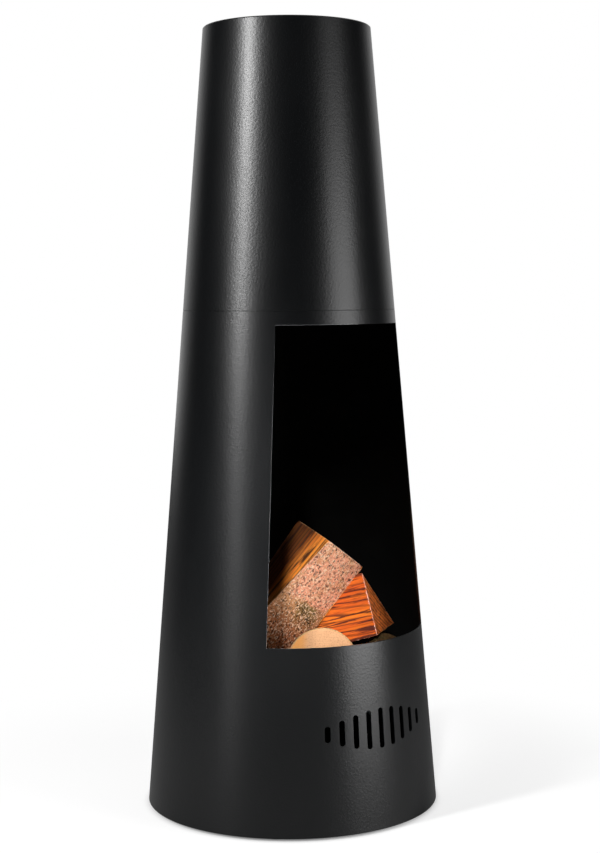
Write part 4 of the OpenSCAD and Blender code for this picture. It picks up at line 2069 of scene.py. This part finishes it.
@dataclass(frozen=True)
class Studio:
    """Plain pale floor, white background and soft lights."""

    camera: PhotoCamera = PhotoCamera()
    floor_radius: float = 9.0
    floor_colour: Colour = (0.50, 0.50, 0.50, 1.0)
    fade: Point = (0.30, 0.85)
    floor_lift: float = 0.72
    # Radii over which the painted contact shadow round the foot fades out.
    painted_contact_shadow: Point = (0.206, 0.238)
    backdrop: Point = (0.50, 0.95)
    behind: float = 0.78
    ahead: float = 0.01
    ambient: float = 0.12
    lights: tuple[Softbox, ...] = (
        Softbox("left_strip_top", -50.5, 1.9, 1.80, 0.16, 0.70, 66.0, aim=1.1),
        Softbox("left_strip_middle", -51, 1.9, 1.20, 0.16, 0.50, 34.0, aim=0.8),
        Softbox("left_strip_low", -50, 1.9, 0.72, 0.20, 0.46, 5.5, aim=0.6),
        Softbox("left_strip_foot", -48, 1.9, 0.26, 0.30, 0.44, 2.0, aim=0.3),
        Softbox("right_bank_top", 60, 2.0, 1.70, 1.10, 0.70, 0.5, aim=1.1),
        Softbox("right_bank_middle", 60, 2.0, 1.05, 1.10, 0.60, 3.2, aim=0.8),
        Softbox("right_bank_low", 60, 2.0, 0.40, 1.10, 0.70, 5.2, aim=0.4),
        Softbox("overhead", 150, 0.9, 2.60, 1.60, 1.60, 0.5),
    )
    snoot: Snoot = Snoot()
    floor_sides: int = 96

    def floor(self) -> None:
        """Round floor: keeps the stove's shadow, adds a painted contact shadow, fades to white."""
        s = Shader("studio_floor")
        reach = s.from_axis(s.place())
        seen = s.node("ShaderNodeLightPath", None, None, "Is Camera Ray")
        # The lift falls away close to the stove's foot, which paints a contact shadow.
        lifted = seen * reach.ramp(*self.painted_contact_shadow) * self.floor_lift
        plain = s.node("ShaderNodeBsdfDiffuse", None, {"Color": self.floor_colour})
        lift = s.node("ShaderNodeEmission", None, {"Strength": lifted})
        plain = s.node("ShaderNodeAddShader", None, {0: plain, 1: lift})
        white = s.node("ShaderNodeEmission", None, {"Color": (1, 1, 1, 1), "Strength": 1.0})
        both = s.node("ShaderNodeMixShader", None,
                      {0: seen * reach.ramp(*self.fade), 1: plain, 2: white})
        s.node("ShaderNodeOutputMaterial", None, {"Surface": both})
        marks = [polar(self.floor_radius, 360 * k / self.floor_sides)
                 for k in range(self.floor_sides)]
        ring = [(x, y, 0.0) for x, y in marks]
        new_piece("studio_floor", ring, [list(range(len(ring)))], s.material)

    def world(self) -> None:
        """White for the camera, and for reflections white behind the stove only."""
        world = bpy.data.worlds.new("studio")
        world.use_nodes = True
        bpy.context.scene.world = world
        g = Graph(world.node_tree)
        away = self.camera.ground_axes()[1]
        direction = g.node("ShaderNodeTexCoord", None, None, "Generated")
        depth = g.node("ShaderNodeVectorMath", {"operation": "DOT_PRODUCT"},
                       {0: direction, 1: tuple(away)}, "Value")
        level = depth.ramp(*self.backdrop) * (self.behind - self.ahead) + self.ahead
        paths = g.node("ShaderNodeLightPath", None, None, "Is Camera Ray")
        glossy = Signal(g, paths.socket.node.outputs["Is Glossy Ray"])
        indirect = glossy * level + (1.0 - glossy) * self.ambient
        strength = (paths + (1.0 - paths) * indirect).at_most(1.0)
        light = g.node("ShaderNodeBackground", None, {"Color": (1, 1, 1, 1), "Strength": strength})
        g.node("ShaderNodeOutputWorld", None, {"Surface": light})

    def build(self) -> None:
        """Builds the floor, the world, the lights and the camera."""
        self.floor()
        self.world()
        for light in (*self.lights, self.snoot):
            light.build(self.camera)
        self.camera.build()
        bpy.context.scene.view_settings.view_transform = "Standard"


def main() -> None:
    """Builds the looks around the frame."""
    logging.basicConfig(level=logging.INFO, format="%(message)s")
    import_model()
    Studio().build()
    finishes = Finishes()
    Shell(Cone.from_frame(), finishes).build()
    Base(finishes).build()
    Innards(finishes).build()
    WoodPile().build()


if __name__ == "__main__":
    main()
